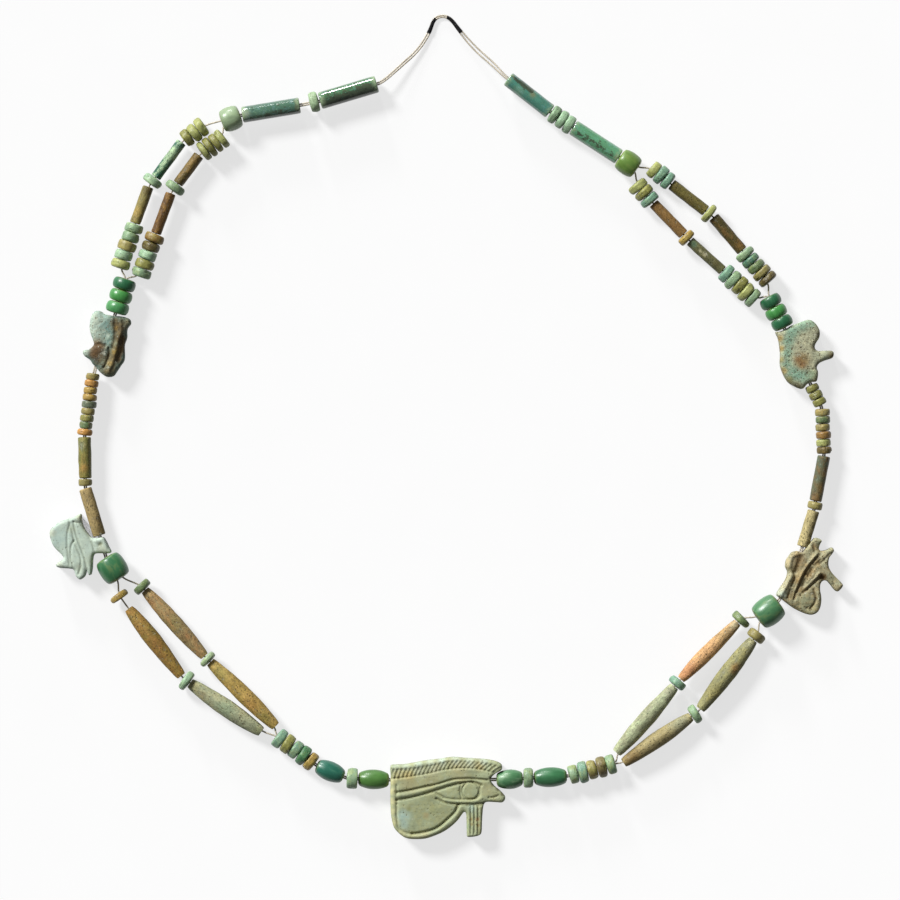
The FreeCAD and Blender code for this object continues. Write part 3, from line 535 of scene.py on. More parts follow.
def piece_of(name, parts, material):
    """One object of several beads."""
    starts = np.cumsum([0] + [len(p["verts"]) for p in parts])
    faces = [tuple(i + start for i in face) for p, start in zip(parts, starts) for face in p["faces"]]
    joined = {key: np.concatenate([p[key] for p in parts]) for key in parts[0] if key != "faces"}
    return make_object(name, joined.pop("verts"), faces, MATERIALS[material], joined)


# Each strung node: its stain, how much of it, and its beads' colours outwards from the main amulet. After a bar come
# coloured places: the bead, the shares along and beside its axis, the radius in mm, the colour and its strength
STRUNG = """
    left_inner_barrel_bead olive 0 leaf;
    left_barrel_spacer_ring olive 0.5 sage;
    left_outer_barrel_bead olive 0.1 teal;
    lower_left_disc_beads olive 0.4 ochre fern aqua olive aqua;
    lower_left_outer_front_spindle tobacco 0.35 cheek |
        0,0.96,0,1.5,khaki,0.7 0,0.8,0.3,1,tobacco,0.5 0,0.04,0,1.2,olive,0.5 0,0.5,0.2,2,seafoam,0.4;
    lower_left_outer_back_spindle chestnut 0.55 ochre |
        0,0.45,-0.2,1.4,chestnut,0.45 0,0.3,0.3,1,rust,0.35 0,0.85,0,2,honey,0.5 0,0.65,-0.4,1.2,olive,0.5;
    lower_left_inner_front_spindle tan 0.6 honey |
        0,0.35,0.2,1.6,orange,0.5 0,0.15,0,1.6,olive,0.5 0,0.85,0,2.4,celery,0.35;
    lower_left_inner_back_spindle rust 0.4 sand |
        0,0.86,0.3,1,rust,0.3 0,0.62,-0.3,0.8,chestnut,0.3 0,0.5,0.2,1.8,khaki,0.6 0,0.3,0,1.2,chestnut,0.4
        0,0.1,0,1.6,sand,0.5;
    left_lower_side_tube umber 0.5 sand |
        0,0.1,-0.5,1.5,umber,0.75 0,0.3,-0.7,1.1,bark,0.6 0,0.8,0.2,1.6,sand,0.6;
    left_side_spacer_bead umber 0.6 khaki;
    left_upper_side_tube chestnut 0.7 olive | 0,0.25,0,0.9,orange,0.5 0,0.8,0.4,1,greige,0.5;
    left_small_beads tobacco 0.4 orange moss olive khaki slate ochre ochre orange khaki;
    left_glossy_beads leaf 0.2 jade grass pine;
    upper_left_outer_side_rings olive 0.3 celery seafoam khaki sage sage;
    upper_left_outer_side_tube walnut 0.6 khaki | 0,0.9,-0.3,1.2,umber,0.8 0,0.3,0.4,1.4,honey,0.6;
    upper_left_outer_back_tube pale_jade 0.9 petrol | 0,0.25,-0.3,1.6,pine,0.7 0,0.6,0.2,1.6,pale_jade,0.6;
    upper_left_outer_back_rings olive 0.4 olive celery celery;
    upper_left_inner_side_rings olive 0.4 sage olive seafoam umber tobacco;
    upper_left_inner_side_tube tobacco 0.6 walnut;
    upper_left_inner_back_tube tobacco 0.7 bronze | 0,0.9,-0.4,1.2,umber,0.7;
    upper_left_inner_back_rings umber 0.4 celery olive olive celery;
    upper_left_front_wide_tube seafoam 0.3 deep_teal |
        0,0.03,0,1.3,greige,0.8 0,0.3,-0.5,1.6,spruce,0.5;
    upper_left_spacer_ring sage 0.3 pale_jade;
    upper_left_back_wide_tube rust 0.8 pine;
    right_inner_barrel_bead sage 0.4 fern | 0,0.1,0.2,0.8,seafoam,0.7 0,0.35,0.5,0.9,sage,0.5;
    right_barrel_spacer_ring olive 0.3 sage;
    right_outer_barrel_bead olive 0 deep_pine;
    lower_right_disc_beads olive 0.5 sage aqua khaki taupe sage |
        3,0.5,0.1,0.35,bark,0.9 2,0.5,-0.6,0.6,rust,0.4;
    lower_right_outer_front_spindle umber 0.55 parchment |
        0,0.12,0,2.6,tobacco,0.7 0,0.85,0.3,2.4,greige,0.6;
    lower_right_outer_back_spindle khaki 0.6 honey_green |
        0,0.62,-0.3,1.1,orange,0.7 0,0.58,-0.5,0.6,chestnut,0.6 0,0.97,0,1.6,bone,0.6 0,0.25,0,2.4,khaki,0.5;
    lower_right_inner_front_spindle sage 0.4 putty | 0,0.45,-0.3,1.6,moss,0.25 0,0.9,0,1.6,bone,0.6;
    lower_right_inner_back_spindle tan 0.4 salmon |
        0,0.12,0,2.6,terracotta,0.6 0,0.78,0,2.6,sand,0.6 0,0.97,0,1.8,greige,0.7;
    right_lower_side_tube umber 0.4 parchment |
        0,0.1,-0.85,0.9,umber,0.8 0,0.35,-0.85,0.9,umber,0.8 0,0.6,-0.85,0.9,umber,0.8 0,0.85,-0.85,0.9,umber,0.8;
    right_side_spacer_bead umber 0.4 khaki;
    right_upper_side_tube walnut 0.9 slate |
        0,0.3,-0.6,1.6,tobacco,0.8 0,0.1,0,0.9,tobacco,0.7 0,0.65,-0.7,1.4,tobacco,0.7;
    right_lower_small_beads tobacco 0.5 bronze celery tobacco khaki moss khaki;
    right_upper_small_beads umber 0.4 olive olive olive;
    right_glossy_beads leaf 0.1 pine grass pine;
    upper_right_outer_side_rings olive 0.3 umber khaki moss spruce sage;
    upper_right_outer_side_tube walnut 0.7 soil | 0,0.15,0,1.1,tobacco,0.7;
    upper_right_outer_back_tube umber 0.7 drab;
    upper_right_outer_back_rings olive 0.2 aqua aqua celery;
    upper_right_inner_side_rings olive 0.3 sage celery olive sage aqua;
    upper_right_inner_side_tube umber 0.6 khaki_grey |
        0,0.55,0,0.5,cream,0.9 0,0.68,0.2,0.35,cream,0.9 0,0.9,0,0.9,spruce,0.6 0,0.2,0,1,umber,0.5;
    upper_right_inner_back_tube walnut 0.6 tan_brown;
    upper_right_inner_back_rings olive 0.3 aqua olive celery;
    upper_right_front_wide_tube olive 0.2 emerald;
    upper_right_disc_beads sage 0.4 seafoam seafoam sage;
    upper_right_back_wide_tube rust 0.3 turquoise |
        0,0.45,-0.3,0.7,tobacco,0.55 0,0.7,0.5,1.2,seafoam,0.3"""


# Where the wide tubes' black patches lie, from the shares along and beside their axes
PATCHES = {
    "upper_left_front_wide_tube": lambda along, beside: 0.5 - 0.3 * beside + 0.9 * (along > 0.955),
    "upper_left_back_wide_tube": lambda along, beside: 0.85 - 0.5 * beside,
    "upper_right_front_wide_tube": lambda along, beside: 0.25 + 0.5 * np.exp(-((beside - 0.3) / 0.5) ** 2),
    "upper_right_back_wide_tube":
        lambda along, beside: 0.1 + 0.95 * np.exp(-((beside + 0.6) / 0.45) ** 2) * (along > 0.45),
}

# Beads that stay with the thread, by their middles' places in the photograph, in pixels
WEDGED = [
    ((188, 680), "seafoam"), ((121, 591.5), "ochre"), ((209, 660.5), "pale_jade"), ((137, 590), "moss"),
    ((151.5, 188.5), "seafoam"), ((177, 189.5), "sage"), ((694.5, 714), "sage"), ((756, 632), "khaki"),
    ((678.5, 682), "aqua"), ((749, 615.5), "moss"), ((709.5, 213), "celery"), ((688, 238.5), "ochre"),
]
JUNCTIONS = [((118, 571.5), "deep_pine"), ((235, 125), "pale_jade"), ((767, 608), "fern"), ((632, 166), "lichen")]


def photo_place(pixel):
    """A pixel of the photograph on the plane of the necklace, in metres."""
    return np.array([(pixel[0] - PHOTO_CENTRE[0]) * PHOTO_PIXEL, (PHOTO_CENTRE[1] - pixel[1]) * PHOTO_PIXEL])


def nearest_name(bead, table):
    return min(table, key=lambda row: np.linalg.norm(bead.middle()[:2] - photo_place(row[0])))[1]


BEADS = {}
STRUNG_SEED, THREAD_BEAD_SEED, AMULET_SEED = 100, 60, 400
BEAD_GAP = 0.004 * MM


def dress_beads():
    """Replaces every bead node by its hand-made looking beads."""
    for number, row in enumerate(sorted(row.strip() for row in STRUNG.split(";"))):
        row, _, spots = row.partition("|")
        node, stain, amount, *names = row.split()
        kind, material = next(look[1:] for look in LOOKS if node.endswith(look[0]))
        rng = np.random.RandomState(STRUNG_SEED + number)
        beads = BEADS[node] = beads_of(node)
        gaps = [0.0] + [(b.order - a.order - a.length) * 0.5 - BEAD_GAP for a, b in zip(beads, beads[1:])] + [0.0]
        parts = []
        for i, (bead, name) in enumerate(zip(beads, names)):
            own = [spot[1:] for spot in read_spots(spots) if spot[0] == i]
            parts.append(bead_mesh(bead, kind, name, stain, float(amount) * rng.uniform(0.4, 1.3), rng, gaps[i],
                                   gaps[i + 1], PATCHES.get(node), own))
        dress(piece_of("dressed_" + node, parts, material), node)
    for node, kind, material, table in (
        ("wedged_rings", "disc", "disc", WEDGED), ("junction_beads", "junction", "glaze", JUNCTIONS)
    ):
        rng = np.random.RandomState(THREAD_BEAD_SEED + len(node))
        BEADS[node] = beads_of(node)
        parts = [bead_mesh(b, kind, nearest_name(b, table), "olive", 0.25, rng) for b in BEADS[node]]
        dress(piece_of("dressed_" + node, parts, material), node)


dress_beads()


# ---------------------------------------------------------------- amulets

AMULET_HIGHEST = 4.62 * MM
AMULET_BORE_RADIUS = 0.72 * MM
# Insets of the front's extra rows of points, and the side's rows: their share of the height and their inset
FRONT_INSETS = (0.07, 0.18, 0.34, 0.55)
SIDE_ROWS = ((0.66, 0.0), (0.34, 0.0), (0.12, 0.03), (0.03, 0.14), (0.0, 0.34))
CLOUD_INSET = 0.68 * MM
HATCH_COUNT, HATCH_START, HATCH_PITCH, HATCH_END = 26, 392.2, 4.07, 501.5
IRIS_CENTRE, IRIS_RADIUS = (470.9, 789.8), 8.4

def spline(points, step, closed=False):
    """A Catmull-Rom line through the points, with a point about every step."""
    points = np.asarray(points, float)
    if closed:
        points = np.concatenate([points[-1:], points, points[:2]])
    else:
        points = np.concatenate([[2 * points[0] - points[1]], points, [2 * points[-1] - points[-2]]])
    out = []
    for a, b, c, d in zip(points, points[1:], points[2:], points[3:]):
        pieces = max(1, int(round(np.linalg.norm(c - b) / step)))
        for t in np.arange(pieces) / pieces:
            bend, twist = 2 * a - 5 * b + 4 * c - d, 3 * b - a - 3 * c + d
            out.append(0.5 * (2 * b + (c - a) * t + bend * t * t + twist * t ** 3))
    return np.array(out if closed else out + [points[-2]])


def distance_to_line(points, line, closed=False):
    """Each point's distance to a line of straight runs."""
    a = line if closed else line[:-1]
    run = (np.roll(line, -1, 0) if closed else line[1:]) - a
    square = (run ** 2).sum(1) + 1e-18
    best = np.full(len(points), np.inf)
    for start in range(0, len(points), 4000):
        p = points[start:start + 4000, None, :]
        t = np.clip(((p - a) * run).sum(2) / square, 0, 1)
        best[start:start + 4000] = np.sqrt(((p - a - run * t[..., None]) ** 2).sum(2).min(1))
    return best


def inside(points, outline):
    """True for each point that a closed outline holds."""
    result = np.zeros(len(points), bool)
    for (x0, y0), (x1, y1) in zip(outline, np.roll(outline, -1, 0)):
        crosses = (y0 > points[:, 1]) != (y1 > points[:, 1])
        if abs(y1 - y0) > 1e-15:
            result ^= crosses & (points[:, 0] < (x1 - x0) * (points[:, 1] - y0) / (y1 - y0) + x0)
    return result


class Relief:
    """An amulet's place: its pixels in the photograph fitted to its CAD node's box."""

    def __init__(self, node, pixel_box):
        self.low, self.high = (np.array(c)[:2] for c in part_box(node))
        self.first, self.last = np.array(pixel_box[:2], float), np.array(pixel_box[2:], float)

    def place(self, pixels):
        share = (np.atleast_2d(np.asarray(pixels, float)) - self.first) / (self.last - self.first)
        share[:, 1] = 1 - share[:, 1]
        return self.low + share * (self.high - self.low)


def carve(points, relief, cuts):
    """How deep each point is cut or raised and its dirt. A cut is its width and depth in mm, its dirt and pixels."""
    depth, dirt = np.zeros(len(points)), np.zeros(len(points))
    for width, deep, soil, pixels in cuts:
        away = distance_to_line(points, spline(relief.place(pixels), 0.25 * MM)) / (width * MM)
        depth += deep * MM * np.exp(-away ** 2)
        dirt = np.maximum(dirt, soil * np.exp(-(away * 1.1) ** 2))
    return depth, dirt


def amulet_mesh(relief, spec, rng):
    """A plate with a carved, rounded front, worn sides and a flat back: vertices, faces, dirt and rim."""
    edge_round, top, grid = spec.get("edge", 0.7), spec.get("top", 4.4), spec.get("grid", 0.22)
    outline = spline(relief.place(spec["outline"]), 0.22 * MM, True)
    if np.sum(outline[:, 0] * np.roll(outline[:, 1], -1) - np.roll(outline[:, 0], -1) * outline[:, 1]) < 0:
        outline = outline[::-1]
    outline = np.clip(outline, relief.low, relief.high)
    count = len(outline)
    tangent = np.roll(outline, -1, 0) - np.roll(outline, 1, 0)
    inward = np.stack([-tangent[:, 1], tangent[:, 0]], 1)
    inward /= np.linalg.norm(inward, axis=1)[:, None] + 1e-12
    sets = [outline]
    for inset in FRONT_INSETS:
        ring = outline + inward * inset * MM
        sets.append(ring[(distance_to_line(ring, outline, True) > inset * MM * 0.93) & inside(ring, outline)])
    rows = enumerate(np.arange(relief.low[1], relief.high[1], grid * MM * 0.866))
    cloud = np.array([(x + (j % 2) * grid * MM / 2, y) for j, y in rows
                      for x in np.arange(relief.low[0], relief.high[0], grid * MM)])
    cloud = cloud[inside(cloud, outline)]
    sets.append(cloud[distance_to_line(cloud, outline, True) > CLOUD_INSET])
    corners = [list(range(count))]
    found = delaunay_2d_cdt([Vector(p / MM) for p in np.concatenate(sets)], [], corners, 1, 1e-6)
    flat = np.array([tuple(v) for v in found[0]]) * MM
    edge = distance_to_line(flat, outline, True)
    depth, dirt = carve(flat, relief, spec["cuts"])
    near = np.clip(edge / (edge_round * MM), 0, 1)
    height = top * MM - edge_round * MM * (1 - np.sqrt(np.clip(1 - (1 - near) ** 2, 0, 1)))
    height -= depth * np.clip(edge / (0.25 * MM), 0.25, 1)
    solid = np.column_stack([flat, height])
    bumpy = spec.get("bumpy", 1.0) * MM
    height += bumpy * (0.04 * waves(solid, 3.5 * MM, rng) + 0.014 * waves(solid, 1.0 * MM, rng))
    height = np.minimum(height, AMULET_HIGHEST)
    verts, faces = [np.column_stack([flat, height])], [tuple(f) for f in found[2]]
    previous, start = np.arange(count), len(flat)
    for share, inset in SIDE_ROWS:
        level = height[:count] * share
        wear = 0.03 * MM * waves(np.column_stack([outline, level]), 2.2 * MM, rng) * (share > 0)
        verts.append(np.column_stack([outline + inward * (inset * MM + np.clip(wear, 0, 1))[:, None], level]))
        current = start + np.arange(count)
        faces += zip(previous, current, np.roll(current, -1), np.roll(previous, -1))
        previous, start = current, start + count
    back = delaunay_2d_cdt([Vector(p / MM) for p in verts[-1][:, :2]], [], corners, 1, 1e-6)
    under = back[2] if len(back[0]) == count else corners
    faces += [tuple(start - count + i for i in reversed(f)) for f in under]
    verts = np.concatenate(verts)
    pad = len(verts) - len(dirt)
    rim = np.concatenate([np.clip(1 - edge / (0.6 * MM), 0, 1), np.full(pad, 0.3)])
    return verts, [tuple(int(i) for i in f) for f in faces], np.concatenate([dirt, np.zeros(pad)]), rim


def bore_through(piece, start, end, radius):
    """Cuts a round bore along a line through a piece."""
    axis = (end - start) / np.linalg.norm(end - start)
    side, sides = np.cross(UP, axis), 28
    circle = [(side * math.cos(a) + UP * math.sin(a)) * radius for a in turns(sides)]
    verts = [start + c for c in circle] + [end + c for c in circle]
    faces = [tuple(reversed(range(sides))), tuple(range(sides, 2 * sides))]
    faces += [(k, (k + 1) % sides, sides + (k + 1) % sides, sides + k) for k in range(sides)]
    cutter = make_object("bore_cutter", verts, faces, piece.data.materials[0])
    modifier = piece.modifiers.new("bore", "BOOLEAN")
    modifier.object, modifier.operation, modifier.solver = cutter, "DIFFERENCE", "EXACT"
    bpy.context.view_layer.update()
    cut = bpy.data.meshes.new_from_object(piece.evaluated_get(bpy.context.evaluated_depsgraph_get()))
    piece.modifiers.clear()
    if len(cut.polygons) > 0.9 * len(piece.data.polygons):
        piece.data = cut
    bpy.data.objects.remove(cutter)


def dress_amulet(node, spec, number):
    """Replaces an amulet node by its carved, stained and bored likeness; its spots are stains, except a few on the main
    amulet that are painted highlights and painted shade.
    """
    relief = Relief(node, spec["box"])
    verts, faces, dirt, rim = amulet_mesh(relief, spec, np.random.RandomState(AMULET_SEED + number))
    ones = np.ones(len(verts))
    tints = np.outer(ones, [*linear(spec["tint"]), 1.0])
    for x, y, radius, name, strength in spec["spots"]:
        add_spot(verts[:, :2], tints, relief.place([(x, y)])[0], radius * MM, name, strength)
    name, amount = spec["stain"]
    paint = {"tint": tints, "stain": np.outer(ones, [*linear(name), amount]), "local": verts + number,
             "masks": np.stack([rim, 0 * ones, ones, dirt], 1)}
    piece = make_object("dressed_" + node, verts, faces, MATERIALS[spec["material"]], paint)
    middle, axis = JOINT_PLACES[node], JOINT_AXES[node]
    before, after = spec["bore"]
    bore_through(piece, middle - axis * before * MM, middle + axis * after * MM, AMULET_BORE_RADIUS)
    dress(piece, node)


def height_at(line, x):
    return float(np.interp(x, [p[0] for p in line], [p[1] for p in line]))


HATCH_TOP = read_points("391,769 400,768.2 416,767 430,764.6 440,761.8 452,759.8 466,759.8 481,761 495,763.8 501,766.4")
HATCH_FOOT = read_points("391,777.8 404,776.4 416,774.6 431,771.8 445,768.6 459,767 474,767.2 484,768.8 494,771.6")
BROW_LINE = read_points("398,791 409.4,789.2 424,786 438,783 452,778.8 459.4,777.8 474,777.6 488,778.8")
LID_LINE = read_points("""
    398,798.8 409.4,796.8 420,794.2 431,791 438,788.8 449,785.2 459.4,782.4 470,780.7 476,781.6 481.6,784""")
LOWER_LID = read_points("436.6,791.4 442.3,794.8 448.7,797.2 459,798 470,798 477,797 480.2,793 480.4,786")
UNDER_LID = read_points("437,797.4 446.3,801.4 454.7,802.8 463,802.9 475.5,802.9 484,802")
CHEEK_LINE = read_points("""
    458.8,803.6 455.5,810.5 448,818 441.3,823.8 433,828.4 421.3,831.4 413,832.2 404.7,830.6 399.4,825.5 397.8,814.7
    397.9,803""")


def main_cuts():
    """The large eye's brow hatching, its lines, the raised ribbons between them, and the leg's flutes."""
    cuts = []
    for k in range(HATCH_COUNT):
        foot = HATCH_START + HATCH_PITCH * k
        top = min(foot + lerp(2.6, 6.6, k / (HATCH_COUNT - 1)), HATCH_END)
        ends = (foot, height_at(HATCH_FOOT, foot) - 0.6), (top, height_at(HATCH_TOP, top) + 0.4)
        cuts.append((0.28, 0.24, 0.2 + 0.14 * math.sin(2.3 * k + 1), [ends[0], np.mean(ends, 0) + (-0.4, 0), ends[1]]))
    ring = [(IRIS_CENTRE[0] + IRIS_RADIUS * math.cos(a), IRIS_CENTRE[1] + IRIS_RADIUS * math.sin(a))
            for a in np.radians(np.arange(-75, 250, 13))]
    cuts += [
        (0.2, 0.16, 0.4, HATCH_FOOT), (0.24, 0.42, 0.62, BROW_LINE), (0.26, 0.45, 0.6, LID_LINE),
        (0.2, 0.26, 0.4, LOWER_LID), (0.24, 0.38, 0.5, UNDER_LID), (0.28, 0.5, 0.6, CHEEK_LINE[:7]),
        (0.26, 0.24, 0.15, CHEEK_LINE[6:]), (0.19, 0.26, 0.34, ring),
    ] + read_cuts("""
        0.2 0.22 0.3 461.3,783.6 460.7,788 460.9,793 462,796.6; 0.34 -0.16 0 398,795 409.4,793 420,790.4 431,787.2
        445,782.6 456,779.9 470,779.2; 0.36 -0.16 0 446,799.2 456,800.4 466,800.5 476,800 482,797;
        0.4 -0.14 0 461.5,806 456,814.5 447,823 436,830.5 422,834.6 410,835.2; 0.26 0.2 0.2 397.6,784 397.4,792
        397.6,803; 0.22 0.22 0.4 489,796.4 494,796 499,794.2; 0.2 0.2 0.2 484.4,803 478,804.4 468,804.4""")
    for x, soil in ((471.2, 0.25), (474.8, 0.3), (478.4, 0.5)):
        cuts.append((0.2, 0.28, soil, [(x, 805), (x + 0.2, 818), (x, 832)]))
    return cuts


